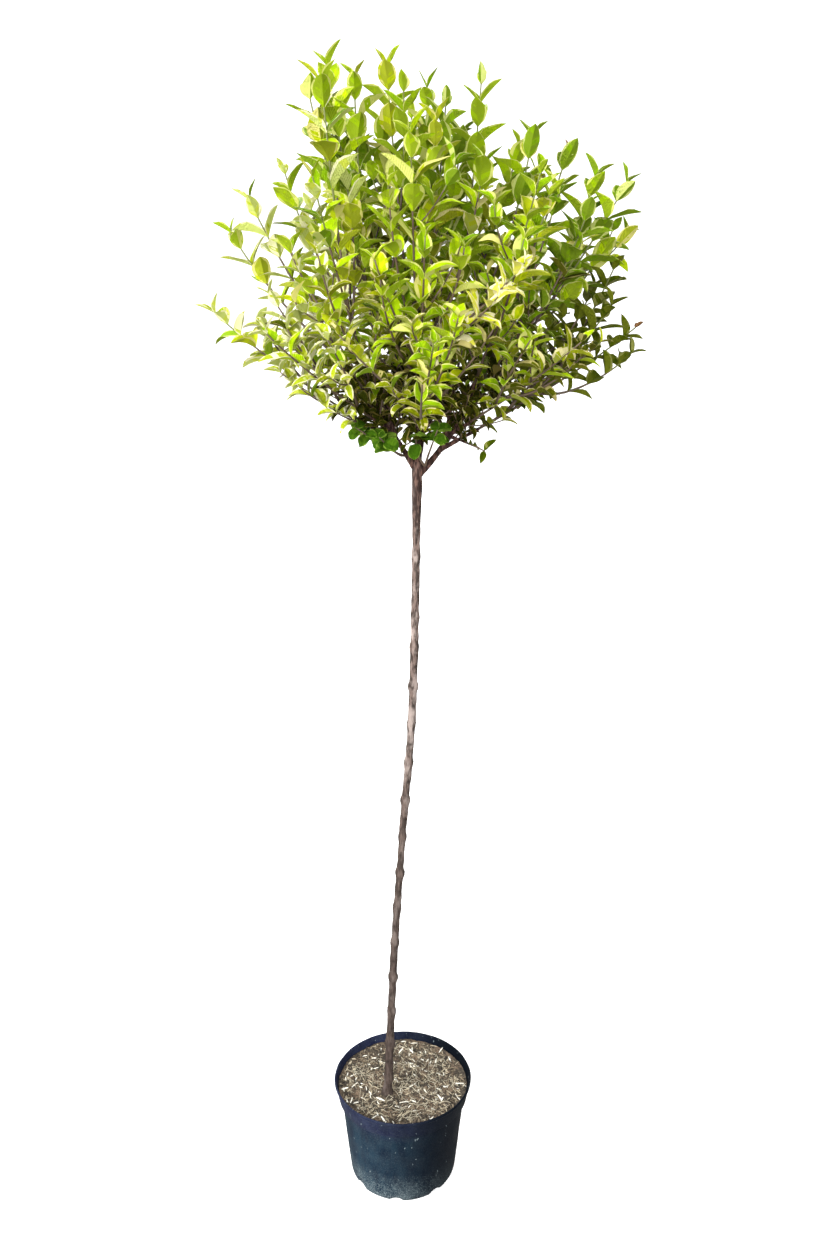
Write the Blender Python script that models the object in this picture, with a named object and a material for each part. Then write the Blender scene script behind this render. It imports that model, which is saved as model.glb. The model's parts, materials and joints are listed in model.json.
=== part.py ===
"""A golden privet grown as a standard: a ball of upright leafy shoots on one clear stem, in a nursery pot.

Metres, +Z up. The origin is the centre of the pot's flat underside. It is looked at from -Y.
"""

import math
import zlib
from typing import NamedTuple

import bmesh
import bpy
import numpy as np
from mathutils import Vector
from mathutils.bvhtree import BVHTree

# Room left between neighbours that touch in life
CLEARANCE = 0.0003
SLEEVE = 0.0005
TUFT_CLEARANCE = 0.0007

# The pot: a tapered wall under a wide collar
POT_HEIGHT = 0.193
RIM_RADIUS = 0.1275
RIM_ROUNDING = 0.0015
COLLAR_HEIGHT = 0.036
COLLAR_FOOT_RADIUS = 0.1210
COLLAR_LEDGE_RISE = 0.003
WALL_TOP_RADIUS = 0.1150
WALL_FOOT_RADIUS = 0.0995
BASE_RADIUS = 0.0920
BASE_ROUNDING = 0.011
POT_WALL = 0.0022
POT_SIDES = 32

# Drain notches round the edge of the base
NOTCH_COUNT = 8
NOTCH_WIDTH = 0.021
NOTCH_TOP_WIDTH = 0.013
NOTCH_HEIGHT = 0.007
NOTCH_DEPTH = 0.006
NOTCH_FIRST_DEG = -96.4

# The compost that fills it
COMPOST_TOP = 0.175
COMPOST_UNEVEN = 0.0015
COMPOST_GAP = 0.0005
EVEN_RADIUS = 0.070
SLOPE_RADIUS = 0.098

# The stem: the line that its middle follows, its radius at some heights, and its old leaf joints
STEM_LINE = [
    (-0.0275, -0.029, 0.1753),
    (-0.0150, -0.022, 0.450),
    (0.0020, -0.016, 0.700),
    (0.0175, -0.011, 0.900),
    (0.0237, -0.006, 1.100),
    (0.0270, 0.000, 1.336),
]
STEM_GIRTH = [
    (0.1753, 0.0112),
    (0.195, 0.0078),
    (0.30, 0.0070),
    (0.60, 0.0063),
    (1.05, 0.0066),
    (1.20, 0.0062),
    (1.29, 0.0078),
    (1.336, 0.0086),
]
STEM_TOP = STEM_LINE[-1][2]
STEM_SIDES = 7
STEM_FLARE = 0.0016
KNOT_SPACING = 0.034
KNOT_FIRST = 0.215
KNOT_LAST = 1.04
KNOT_PROUD = 0.0021

# How the crown's limbs leave the fork, bend upwards and taper
FORK = np.array((0.027, 0.0, 1.326))
FORK_SPREAD = {"centre": 1.0, "left": 1.0, "right": 2.2, "rear": 1.5}
ROOT_SPREAD = 1.2
TIP_SPREAD = 0.7
CURVE_PULL = 0.85
TUFT_PULL = 0.35
LINE_STEPS = 60
BOUGH_SIDES = 6
BOUGH_RINGS = 4
BOUGH_TAPER = 0.62

# Twigs
TWIG_SIDES = 3
TWIG_RINGS = 5
STALK_RINGS = 7
TWIG_RADIUS = 0.0021
TWIG_TIP_RADIUS = 0.0009
SHOOT_FIRST = 0.10
SHOOT_LAST = 0.44
SHOOT_LENGTHS = (0.72, 0.92)

# Leaves, which stand in pairs, each pair square to the last
LEAF_LENGTH = 0.075
LEAF_WIDTH = 0.041
LEAF_WIDEST = 0.46
LEAF_THICKNESS = 0.0012
LEAF_FOLD = 0.16
LEAF_DROOP = 0.12
LEAF_ROOM = 0.0008
LOW_LEAF_SHARE = 0.72
LOW_LEAF_RISE = 0.35
PAIR_GAP = 0.128
TIP_PAIR_GAP = 0.042
PAIR_OFFSET = 0.0017
LOW_TILT_DEG = 58
TIP_TILT_DEG = 40
BUD_LENGTH = 0.030
BUD_WIDTH = 0.013

# Colours and roughness
FINISHES = {
    "pot_plastic": ((0.012, 0.016, 0.026), 0.45),
    "compost": ((0.150, 0.105, 0.066), 0.95),
    "bark": ((0.245, 0.185, 0.145), 0.85),
    "leaf": ((0.330, 0.430, 0.045), 0.45),
}


class Limb(NamedTuple):
    """One limb of the crown: bare wood from its parent to the foliage, then a leafy shoot to its tip.

    along is the share of the parent's bare wood that it springs from or, on the stem, the depth
    below its top. tip is to the right of the fork, behind it and above it, in millimetres. bare is
    the share that is bare wood.
    """

    name: str
    parent: str
    along: float
    tip: tuple
    bare: float
    root_radius: float
    shoots: int


LIMBS = [
    Limb("centre", "stem", 0, (42, -50, 540), 0.24, 0.0053, 2),
    Limb("left", "stem", 0.016, (-258, 0, 410), 0.26, 0.0050, 2),
    Limb("right", "stem", 0.024, (238, 10, 505), 0.26, 0.0055, 2),
    Limb("rear", "stem", 0.008, (60, 270, 430), 0.26, 0.0052, 2),
    Limb("left_low", "left", 0.42, (-326, -20, 252), 0.16, 0.0036, 2),
    Limb("left_spire", "left", 0.56, (-133, -30, 610), 0.18, 0.0042, 2),
    Limb("left_front_low", "left", 0.64, (-220, -200, 210), 0.18, 0.0036, 2),
    Limb("left_upper", "left", 0.76, (-211, 80, 462), 0.16, 0.0038, 2),
    Limb("left_front", "left", 0.86, (-140, -190, 400), 0.16, 0.0036, 2),
    Limb("right_low", "right", 0.42, (355, 10, 228), 0.20, 0.0040, 2),
    Limb("right_spire", "right", 0.54, (97, 20, 590), 0.18, 0.0042, 2),
    Limb("right_front_low", "right", 0.64, (240, -200, 200), 0.18, 0.0036, 2),
    Limb("right_shoulder", "right", 0.74, (322, -10, 440), 0.18, 0.0040, 2),
    Limb("right_front", "right", 0.87, (165, -190, 410), 0.16, 0.0036, 2),
    Limb("front_low", "centre", 0.40, (20, -330, 180), 0.18, 0.0036, 2),
    Limb("front", "centre", 0.56, (10, -270, 330), 0.18, 0.0038, 2),
    Limb("front_top", "centre", 0.68, (-10, -150, 490), 0.18, 0.0038, 2),
    Limb("tall_centre", "centre", 0.80, (-48, 20, 622), 0.18, 0.0040, 2),
    Limb("rear_low", "rear", 0.36, (0, 330, 220), 0.18, 0.0036, 2),
    Limb("rear_left", "rear", 0.46, (-120, 230, 430), 0.18, 0.0040, 2),
    Limb("rear_left_low", "rear", 0.54, (-240, 200, 240), 0.18, 0.0036, 2),
    Limb("rear_right", "rear", 0.62, (220, 200, 400), 0.18, 0.0040, 2),
    Limb("rear_right_low", "rear", 0.72, (250, 210, 225), 0.18, 0.0036, 2),
    Limb("rear_top", "rear", 0.80, (-10, 150, 575), 0.18, 0.0038, 2),
    Limb("right_rear_top", "rear", 0.86, (172, 110, 535), 0.18, 0.0038, 2),
    Limb("hanging", "right", 0.60, (118, -34, 22), 0.45, 0.0028, 0),
    Limb("basal_left", "left", 0.26, (-102, -45, 70), 0, 0.0022, 1),
    Limb("basal_right", "right", 0.15, (34, -52, 70), 0, 0.0022, 1),
]
LIMB_NAMED = {limb.name: limb for limb in LIMBS}


def clear_scene():
    for old in list(bpy.data.objects):
        bpy.data.objects.remove(old)


def material(name):
    colour, roughness = FINISHES[name]
    made = bpy.data.materials.new(name)
    made.use_nodes = True
    shader = made.node_tree.nodes["Principled BSDF"]
    shader.inputs["Base Color"].default_value = (*colour, 1)
    shader.inputs["Roughness"].default_value = roughness
    shader.inputs["Metallic"].default_value = 0
    made.diffuse_color = (*colour, 1)
    return made


def seeded(name):
    """A random source that is always the same for one name."""
    return np.random.default_rng(zlib.crc32(name.encode()))


def new_object(name, points, faces, finish=None):
    mesh = bpy.data.meshes.new(name)
    mesh.from_pydata([tuple(point) for point in points], [], faces)
    work = bmesh.new()
    work.from_mesh(mesh)
    bmesh.ops.recalc_face_normals(work, faces=work.faces)
    work.to_mesh(mesh)
    work.free()
    if finish:
        mesh.materials.append(finish)
    made = bpy.data.objects.new(name, mesh)
    bpy.context.scene.collection.objects.link(made)
    return made


def smooth_shaded(thing):
    thing.data.shade_smooth()
    thing.data.set_sharp_from_angle(angle=math.radians(35))


def boolean(target, operation, others, solver="EXACT"):
    """Joins the other objects to the target, or cuts them from it, and removes them."""
    group = bpy.data.collections.new("tools")
    bpy.context.scene.collection.children.link(group)
    for other in others:
        bpy.context.scene.collection.objects.unlink(other)
        group.objects.link(other)
    modifier = target.modifiers.new("join or cut", "BOOLEAN")
    modifier.operation = operation
    modifier.operand_type = "COLLECTION"
    modifier.collection = group
    modifier.solver = solver
    graph = bpy.context.evaluated_depsgraph_get()
    target.data = bpy.data.meshes.new_from_object(target.evaluated_get(graph))
    target.modifiers.clear()
    for other in others:
        bpy.data.objects.remove(other)
    bpy.data.collections.remove(group)


def keep_largest_body(target):
    """Drops loose scraps, so that the object is one body."""
    work = bmesh.new()
    work.from_mesh(target.data)
    left = set(work.verts)
    bodies = []
    while left:
        body, front = set(), [left.pop()]
        while front:
            point = front.pop()
            body.add(point)
            near = {edge.other_vert(point) for edge in point.link_edges} & left
            left -= near
            front.extend(near)
        bodies.append(body)
    bodies.sort(key=len)
    for body in bodies[:-1]:
        bmesh.ops.delete(work, geom=list(body), context="VERTS")
    work.to_mesh(target.data)
    work.free()


def unit(vector):
    vector = np.array(vector, float)
    return vector / np.linalg.norm(vector)


def cubic(a, b, slope_a, slope_b, t):
    """The points at shares t of the way along a cubic from a to b with the slopes given at its ends."""
    from_a = (2 * t**3 - 3 * t**2 + 1) * a + (t**3 - 2 * t**2 + t) * slope_a
    return from_a + (3 * t**2 - 2 * t**3) * b + (t**3 - t**2) * slope_b


def smooth_line(marks, count):
    """A curve of count points through the marks, made of cubics that meet smoothly."""
    marks = np.array(marks, float)
    slopes = np.gradient(marks, axis=0)
    places = np.linspace(0, len(marks) - 1, count)
    first = np.minimum(places.astype(int), len(marks) - 2)
    after = first + 1
    return cubic(marks[first], marks[after], slopes[first], slopes[after], (places - first)[:, None])


def bent_line(start, heading, end, arrival, steps, firmness=CURVE_PULL):
    """A cubic from start to end that leaves along heading and arrives along arrival.

    The less firmly it keeps to those ways, the straighter it runs.
    """
    pull = np.linalg.norm(end - start) * firmness
    return cubic(start, end, heading * pull, arrival * pull, np.linspace(0, 1, steps + 1)[:, None])


def directions(line):
    """The direction of travel at each point of a line."""
    steps = np.gradient(line, axis=0)
    return steps / np.linalg.norm(steps, axis=1)[:, None]


def reaches(line):
    """The distance from a line's start to each of its points, along the line."""
    return np.concatenate([[0], np.cumsum(np.linalg.norm(np.diff(line, axis=0), axis=1))])


def at_places(places, known, rows):
    """The rows of numbers that go with some places, read between the known ones."""
    return np.stack([np.interp(places, known, column) for column in np.transpose(rows)], axis=-1)


def thinned(line, count):
    """A line with count points spaced evenly along the old ones."""
    return at_places(np.linspace(0, len(line) - 1, count), range(len(line)), line)


def place_on(line, share):
    """The point at a share of the way along a line, and the way the line runs there."""
    place = share * (len(line) - 1)
    first = min(int(place), len(line) - 2)
    step = line[first + 1] - line[first]
    return line[first] + step * (place - first), unit(step)


def side_of(direction, azimuth):
    """A unit vector square to direction, turned round it by azimuth."""
    reference = (1.0, 0.0, 0.0) if abs(direction[1]) > 0.9 else (0.0, -1.0, 0.0)
    across = unit(np.cross(direction, reference))
    return across * math.cos(azimuth) + np.cross(direction, across) * math.sin(azimuth)


def tube(name, line, radii, sides, finish=None, level_ends=False):
    """A tapering limb with flat ends. radii has one number for each ring, or one for each of its points."""
    along = directions(line)
    if level_ends:
        along[[0, -1]] = (0, 0, 1)
    across = side_of(along[0], 0)
    turn = np.arange(sides)[:, None] * 2 * math.pi / sides
    rings = []
    for centre, direction, radius in zip(line, along, radii):
        across = unit(across - direction * np.dot(across, direction))
        spokes = np.cos(turn) * across + np.sin(turn) * np.cross(direction, across)
        rings.append(centre + spokes * np.reshape(radius, (-1, 1)))
    last = (len(line) - 1) * sides
    faces = [tuple(range(sides))[::-1], tuple(range(last, last + sides))]
    for first in range(0, last, sides):
        for side in range(sides):
            a, b = first + side, first + (side + 1) % sides
            faces.append((a, b, b + sides, a + sides))
    return new_object(name, np.concatenate(rings), faces, finish)


def turned(name, profile, sides, finish):
    """A solid turned about the pot's axis from a profile that starts and ends on the axis."""
    points, faces, rows = [], [], []
    for radius, height in profile:
        first = len(points)
        if radius == 0:
            points.append((0, 0, height))
            rows.append([first] * sides)
            continue
        for side in range(sides):
            turn = 2 * math.pi * side / sides
            points.append((radius * math.cos(turn), radius * math.sin(turn), height))
        rows.append(list(range(first, first + sides)))
    for low, high in zip(rows, rows[1:]):
        for side in range(sides):
            after = (side + 1) % sides
            corners = dict.fromkeys((low[side], low[after], high[after], high[side]))
            if len(corners) > 2:
                faces.append(tuple(corners))
    return new_object(name, points, faces, finish)


def wall_radius(height):
    """The outside of the pot's wall under its collar, at a height."""
    share = height / (POT_HEIGHT - COLLAR_HEIGHT)
    return WALL_FOOT_RADIUS + (WALL_TOP_RADIUS - WALL_FOOT_RADIUS) * share


def inside_profile(gap):
    """The inside of the pot from its rim down to the middle of its base, drawn in by a gap."""
    ledge = POT_HEIGHT - COLLAR_HEIGHT + POT_WALL + gap
    shrink = POT_WALL + gap
    return [
        (RIM_RADIUS - shrink, POT_HEIGHT),
        (COLLAR_FOOT_RADIUS - shrink, ledge + COLLAR_LEDGE_RISE),
        (WALL_TOP_RADIUS - shrink, ledge),
        (wall_radius(BASE_ROUNDING) - shrink, BASE_ROUNDING + gap),
        (BASE_RADIUS - shrink, POT_WALL + gap),
        (0, POT_WALL + gap),
    ]


def notch_cutter(number):
    """A wedge that cuts one drain notch, narrower at its top, out of the edge of the base."""
    turn = math.radians(NOTCH_FIRST_DEG) + 2 * math.pi * number / NOTCH_COUNT
    out = Vector((math.cos(turn), math.sin(turn), 0))
    across = Vector((-out.y, out.x, 0))
    points = []
    for reach in (BASE_RADIUS - NOTCH_DEPTH, RIM_RADIUS):
        for width, height in ((NOTCH_WIDTH, -NOTCH_HEIGHT), (NOTCH_TOP_WIDTH, NOTCH_HEIGHT)):
            for side in (-0.5, 0.5):
                points.append(out * reach + across * width * side + Vector((0, 0, height)))
    faces = [(0, 1, 3, 2), (4, 6, 7, 5), (0, 2, 6, 4), (1, 5, 7, 3), (2, 3, 7, 6), (0, 4, 5, 1)]
    return new_object("notch", points, faces)


def make_pot(plastic):
    """A blow-moulded pot: a tapered wall, a wide stiff collar, and drain notches round its base."""
    ledge = POT_HEIGHT - COLLAR_HEIGHT
    outside = [
        (0, 0),
        (BASE_RADIUS, 0),
        (wall_radius(0) - BASE_ROUNDING / 5, BASE_ROUNDING / 4),
        (wall_radius(BASE_ROUNDING), BASE_ROUNDING),
        (WALL_TOP_RADIUS, ledge),
        (COLLAR_FOOT_RADIUS, ledge + COLLAR_LEDGE_RISE),
        (RIM_RADIUS, POT_HEIGHT - RIM_ROUNDING),
        (RIM_RADIUS - POT_WALL / 2, POT_HEIGHT),
    ]
    pot = turned("pot", outside + inside_profile(0), POT_SIDES, plastic)
    boolean(pot, "DIFFERENCE", [notch_cutter(number) for number in range(NOTCH_COUNT)])
    smooth_shaded(pot)


def make_compost(earth):
    """The filling, a little clear of the pot's wall, with an uneven top round a level seat for the stem."""
    below = [place for place in inside_profile(COMPOST_GAP) if place[1] < COMPOST_TOP]
    top = [
        (COLLAR_FOOT_RADIUS - POT_WALL, COMPOST_TOP - COMPOST_UNEVEN),
        (SLOPE_RADIUS, COMPOST_TOP),
        (EVEN_RADIUS, COMPOST_TOP),
        (0, COMPOST_TOP),
    ]
    compost = turned("compost", below[::-1] + top, POT_SIDES, earth)
    chance = seeded("compost")
    for point in compost.data.vertices:
        if point.co.z > COMPOST_TOP - 2 * COMPOST_UNEVEN and point.co.xy.length > EVEN_RADIUS + CLEARANCE:
            point.co.z += chance.uniform(-COMPOST_UNEVEN, COMPOST_UNEVEN)


def stem_place(height):
    """The middle of the stem at a height."""
    line = smooth_line(STEM_LINE, 200)
    return at_places(height, line[:, 2], line)


def stem_rings():
    """The stem's middle and its radii all round, with a swelling where each side shoot was rubbed off."""
    knots = np.arange(KNOT_FIRST, KNOT_LAST, KNOT_SPACING)
    heights = [STEM_GIRTH[0][0], STEM_GIRTH[1][0]]
    heights += sorted([*knots, *(knots + KNOT_SPACING / 2)])
    heights += [KNOT_LAST + KNOT_SPACING, 1.12, 1.17, 1.22, 1.26, 1.29, 1.31, STEM_TOP]
    chance = seeded("stem")
    turn = np.arange(STEM_SIDES) * 2 * math.pi / STEM_SIDES
    girth = np.interp(heights, *np.transpose(STEM_GIRTH))
    radii = [np.full(STEM_SIDES, radius) for radius in girth]
    radii[0] += STEM_FLARE * np.cos(3 * turn)
    for number in range(len(knots)):
        facing = number % 2 * math.pi / 2 + chance.uniform(-0.4, 0.4)
        swelling = KNOT_PROUD * chance.uniform(0.5, 1.1)
        radii[2 + 2 * number] += swelling * np.cos(turn - facing) ** 2
    return np.array([stem_place(height) for height in heights]), radii


def spread(chord, amount):
    """The chord's direction with its level part made longer or shorter."""
    return unit(chord * (amount, amount, 1))


def limb_lines(limb, bare_lines):
    """The line of a limb's bare wood, and the line of its leafy shoot from there to the tip."""
    tip = FORK + np.array(limb.tip) / 1000
    if limb.parent == "stem":
        start, spreading = stem_place(STEM_TOP - limb.along), FORK_SPREAD[limb.name]
    else:
        start, spreading = place_on(bare_lines[limb.parent], limb.along)[0], ROOT_SPREAD
    chord, firmness = tip - start, CURVE_PULL
    heading = spread(chord, spreading)
    if limb.along == 0:
        heading = np.array((0, 0, 1))
        start = start + heading * CLEARANCE
    if limb.bare == 0:
        way = place_on(bare_lines[limb.parent], limb.along)[1]
        heading, firmness = unit(chord - way * np.dot(way, chord)), TUFT_PULL
        start = start + heading * (LIMB_NAMED[limb.parent].root_radius + TUFT_CLEARANCE)
    whole = bent_line(start, heading, tip, spread(chord, TIP_SPREAD), LINE_STEPS, firmness)
    last = round(limb.bare * LINE_STEPS)
    leafy = whole[last:].copy()
    if limb.bare:
        leafy[0] += unit(leafy[1] - leafy[0]) * CLEARANCE
    return whole[: last + 1], leafy


def bough_tip_radius(limb):
    return limb.root_radius * (BOUGH_TAPER if limb.bare else 1)


def bough_rings(limb, line):
    radii = np.linspace(limb.root_radius, bough_tip_radius(limb), BOUGH_RINGS)
    return thinned(line, BOUGH_RINGS), radii


def stalk_rings(limb, line):
    radii = np.linspace(bough_tip_radius(limb), TWIG_TIP_RADIUS, STALK_RINGS)
    return thinned(line, STALK_RINGS), radii


def sleeve(line, radii, sides):
    """A limb's own shape made a little thicker and longer, to cut room for that limb in another."""
    line = line.copy()
    line[0] -= unit(line[1] - line[0]) * SLEEVE
    line[-1] += unit(line[-1] - line[-2]) * SLEEVE
    return tube("sleeve", line, np.array(radii) + SLEEVE, sides)


def make_bough(limb, rings, neighbours, bark):
    """One bare limb, coped round whatever it springs from so that it stands a hair clear of it."""
    bough = tube("bough_" + limb.name, *rings, BOUGH_SIDES, bark)
    for neighbour in neighbours:
        boolean(bough, "DIFFERENCE", [sleeve(*neighbour)])
    keep_largest_body(bough)
    smooth_shaded(bough)
    return bough


def tree_of(things):
    """A search tree over the faces of several objects."""
    points, faces = [], []
    for thing in things:
        first = len(points)
        points += [point.co.copy() for point in thing.data.vertices]
        faces += [tuple(first + corner for corner in face.vertices) for face in thing.data.polygons]
    return BVHTree.FromPolygons(points, faces)


# A leaf's eight faces, upper side first, over the corners that leaf_points gives
LEAF_FACES = [
    (0, 1, 4), (1, 3, 4), (3, 2, 4), (2, 0, 4),
    (1, 0, 5), (3, 1, 5), (2, 3, 5), (0, 2, 5),
]  # fmt: skip


def leaf_points(root, direction, upward, length, width, room=0.0):
    """A folded leaf's six corners: root, two edges, tip, and the top and underside of its midrib."""
    middle = root + direction * length * LEAF_WIDEST
    lift = upward * width * LEAF_FOLD
    half = np.cross(direction, upward) * (width / 2 + room)
    thick = upward * (LEAF_THICKNESS / 2 + room)
    tip = root + direction * (length + room) - upward * length * LEAF_DROOP
    return [root, middle - half + lift, middle + half + lift, tip, middle + thick, middle - thick]


def side_shoots(limb, line):
    """Shoots that leave a mass's own stalk in turn on either side, and bend up until they run beside it."""
    chance = seeded(limb.name + " shoots")
    arrival = unit(directions(line)[-1] + (0, 0, 0.3))
    turn = chance.uniform(0, math.pi)
    made = []
    for number in range(limb.shoots):
        place = (number + chance.uniform(0, 0.6)) / limb.shoots
        share = SHOOT_FIRST + (SHOOT_LAST - SHOOT_FIRST) * place
        start, way = place_on(line, share)
        turn += math.pi * chance.uniform(0.75, 1.0)
        out = unit(way + side_of(way, turn))
        length = reaches(line)[-1] * (1 - share) * chance.uniform(*SHOOT_LENGTHS)
        end = start + unit(out * 0.55 + arrival * 0.75) * length
        made.append(bent_line(start, out, end, arrival, LINE_STEPS // 2))
    return made


def pair_places(length):
    """How far along a shoot each leaf pair stands: closer together towards the tip."""
    place = min(PAIR_GAP, length) * 0.4
    while place < length - TIP_PAIR_GAP * 0.4:
        yield place
        place += PAIR_GAP + (TIP_PAIR_GAP - PAIR_GAP) * place / length


def leaf_share(share, height):
    """A leaf's size: smaller at a shoot's foot and tip, and low in the crown."""
    along = 0.74 + 0.26 * math.sin(math.pi * (0.25 + share * 0.75))
    tip = 1 - 0.35 * max(0.0, share - 0.8) / 0.2
    rise = min(1.0, max(0.0, (height - FORK[2]) / LOW_LEAF_RISE))
    return along * tip * (LOW_LEAF_SHARE + (1 - LOW_LEAF_SHARE) * rise)


def leaves_on(line):
    """The leaves along a shoot and the bud at its tip: (root, direction, upward, length, width)."""
    reach, ways = reaches(line), directions(line)
    turn = 0.6
    for place in pair_places(reach[-1]):
        turn += math.pi / 2
        share = place / reach[-1]
        point, way = at_places(place, reach, line), unit(at_places(place, reach, ways))
        size = leaf_share(share, point[2])
        tilt = math.radians(LOW_TILT_DEG + (TIP_TILT_DEG - LOW_TILT_DEG) * share)
        for half_turn, offset in ((0, 0), (math.pi, PAIR_OFFSET)):
            direction = way * math.cos(tilt) + side_of(way, turn + half_turn) * math.sin(tilt)
            upward = unit(way - direction * np.dot(way, direction))
            root = point + way * offset - direction * TWIG_TIP_RADIUS * 0.3
            yield root, direction, upward, LEAF_LENGTH * size, LEAF_WIDTH * size
    bud_root = line[-1] - ways[-1] * BUD_LENGTH
    yield bud_root, ways[-1], side_of(ways[-1], turn), BUD_LENGTH, BUD_WIDTH


def grow_mass(limb, line, stalk, leaf, others):
    """Joins side shoots and leaves to a mass's stalk, apart from any that would touch another piece."""
    parts, shoots = [], [line]
    for shoot in side_shoots(limb, line):
        radii = np.linspace(TWIG_RADIUS, TWIG_TIP_RADIUS, TWIG_RINGS)
        twig = tube("twig", thinned(shoot, TWIG_RINGS), radii, TWIG_SIDES, leaf)
        if tree_of([twig]).overlap(others):
            bpy.data.objects.remove(twig)
        else:
            shoots.append(shoot)
            parts.append(twig)
    for shoot in shoots:
        for place in leaves_on(shoot):
            roomy = [Vector(point) for point in leaf_points(*place, LEAF_ROOM)]
            if not BVHTree.FromPolygons(roomy, LEAF_FACES).overlap(others):
                parts.append(new_object("leaf", leaf_points(*place), LEAF_FACES, leaf))
    boolean(stalk, "UNION", parts, "MANIFOLD")
    keep_largest_body(stalk)


def main():
    clear_scene()
    bark, leaf = material("bark"), material("leaf")
    make_pot(material("pot_plastic"))
    make_compost(material("compost"))
    stem_line, stem_radii = stem_rings()
    stem = tube("stem", stem_line, stem_radii, STEM_SIDES, bark, level_ends=True)
    smooth_shaded(stem)
    woody, stalks = [stem], {}
    bare_lines, leafy_lines = {}, {}
    shapes = [(stem_line, stem_radii, STEM_SIDES)]
    for limb in LIMBS:
        bare_lines[limb.name], leafy_lines[limb.name] = limb_lines(limb, bare_lines)
        rings = stalk_rings(limb, leafy_lines[limb.name])
        stalks[limb.name] = tube("foliage_" + limb.name, *rings, TWIG_SIDES, bark)
        if not limb.bare:
            continue
        neighbours = shapes.copy() if limb.along else []
        if limb.parent != "stem":
            parent_stalk = stalk_rings(LIMB_NAMED[limb.parent], leafy_lines[limb.parent])
            neighbours.append((*parent_stalk, TWIG_SIDES))
        rings = bough_rings(limb, bare_lines[limb.name])
        woody.append(make_bough(limb, rings, neighbours, bark))
        shapes.append((*rings, BOUGH_SIDES))
    for limb in LIMBS:
        others = [stalk for name, stalk in stalks.items() if name != limb.name]
        grow_mass(limb, leafy_lines[limb.name], stalks[limb.name], leaf, tree_of(woody + others))


main()
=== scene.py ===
"""Looks for the potted standard privet: pot, compost, stem, limbs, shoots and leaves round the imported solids.

Metres, +Z up, origin at the centre of the pot's underside; -Y is the side that the camera looks from.
"""

import json
import math
import zlib
from typing import NamedTuple

import bmesh
import bpy
import numpy as np
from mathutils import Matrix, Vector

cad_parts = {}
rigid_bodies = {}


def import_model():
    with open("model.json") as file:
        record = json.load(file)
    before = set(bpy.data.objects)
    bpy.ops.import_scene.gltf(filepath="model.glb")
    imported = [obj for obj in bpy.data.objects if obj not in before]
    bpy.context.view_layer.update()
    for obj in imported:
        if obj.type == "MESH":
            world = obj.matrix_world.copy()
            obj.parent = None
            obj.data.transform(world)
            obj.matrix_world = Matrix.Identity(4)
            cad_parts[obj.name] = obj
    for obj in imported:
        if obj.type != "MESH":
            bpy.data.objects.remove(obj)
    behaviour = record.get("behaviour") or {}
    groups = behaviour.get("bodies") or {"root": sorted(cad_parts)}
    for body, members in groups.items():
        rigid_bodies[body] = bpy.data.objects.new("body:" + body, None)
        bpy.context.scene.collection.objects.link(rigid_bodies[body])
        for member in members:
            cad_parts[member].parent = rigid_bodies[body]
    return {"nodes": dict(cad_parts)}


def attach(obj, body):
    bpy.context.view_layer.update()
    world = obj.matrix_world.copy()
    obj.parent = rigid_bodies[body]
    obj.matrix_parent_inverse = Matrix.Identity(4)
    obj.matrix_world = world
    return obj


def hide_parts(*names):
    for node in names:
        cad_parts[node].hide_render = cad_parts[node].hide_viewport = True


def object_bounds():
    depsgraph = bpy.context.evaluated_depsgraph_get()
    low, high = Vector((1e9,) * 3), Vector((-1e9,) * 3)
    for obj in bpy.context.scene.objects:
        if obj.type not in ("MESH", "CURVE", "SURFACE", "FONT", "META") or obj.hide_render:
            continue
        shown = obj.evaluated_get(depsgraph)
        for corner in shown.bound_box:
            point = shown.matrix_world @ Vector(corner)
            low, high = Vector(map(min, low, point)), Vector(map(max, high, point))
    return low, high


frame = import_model()
cad_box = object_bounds()


# The studio: a white floor that sweeps up into a round wall far outside the plant, lit by a plain sky and by
# three large soft lamps. The camera stands where the photograph was taken from, a little above the fork, and
# looks down by 13.4 degrees.
CAMERA_PLACE = (0.025, -1.565, 1.44)
CAMERA_PITCH_DEG = 76.6
LENS_MM = 27.7
FLOOR_RADIUS = 3.4
WALL_RADIUS = 8.0
WALL_HEIGHT = 9.0
WALL_ROWS = 28
FLOOR_SIDES = 96
PAPER_SEEN = (0.97, 0.97, 0.97)
PAPER_LIT = (0.30, 0.30, 0.30)
PAPER_GLOW = (0.40, 0.40, 0.40)
SKY_STRENGTH = 1.0
LAMPS = {  # name: (place, size, watts)
    "key": ((-2.8, -2.6, 2.4), 1.6, 270),
    "front": ((0.2, -3.4, 1.8), 2.6, 195),
    "back": ((-1.0, 3.0, 3.6), 2.0, 150),
}
LAMP_AIM = (0.03, 0.0, 1.3)
WELD_DISTANCE = 1e-6


def unit(vectors):
    """Vectors along the last axis, divided by their lengths."""
    vectors = np.asarray(vectors, float)
    return vectors / np.linalg.norm(vectors, axis=-1, keepdims=True)


def turns_round(sides):
    """The turns, from 0 to a full circle, of evenly spaced sides."""
    return np.arange(sides) / sides * 2 * np.pi


def turned_surface(profile, sides):
    """A profile (rows, 2) carried round the axis: x = radius * cos(turn), y = radius * sin(turn), z = height."""
    turn, radius, height = turns_round(sides), profile[:, :1], profile[:, 1:]
    return np.stack(np.broadcast_arrays(radius * np.cos(turn), radius * np.sin(turn), height), -1)


def ring_faces(rows, sides):
    """The quads between rows of points that are numbered row by row, where each row is a closed ring."""
    first, side = np.arange(rows - 1)[:, None] * sides, np.arange(sides)
    after = (side + 1) % sides
    quads = np.stack([first + side, first + after, first + sides + after, first + sides + side], -1)
    return quads.reshape(-1, 4)


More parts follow.
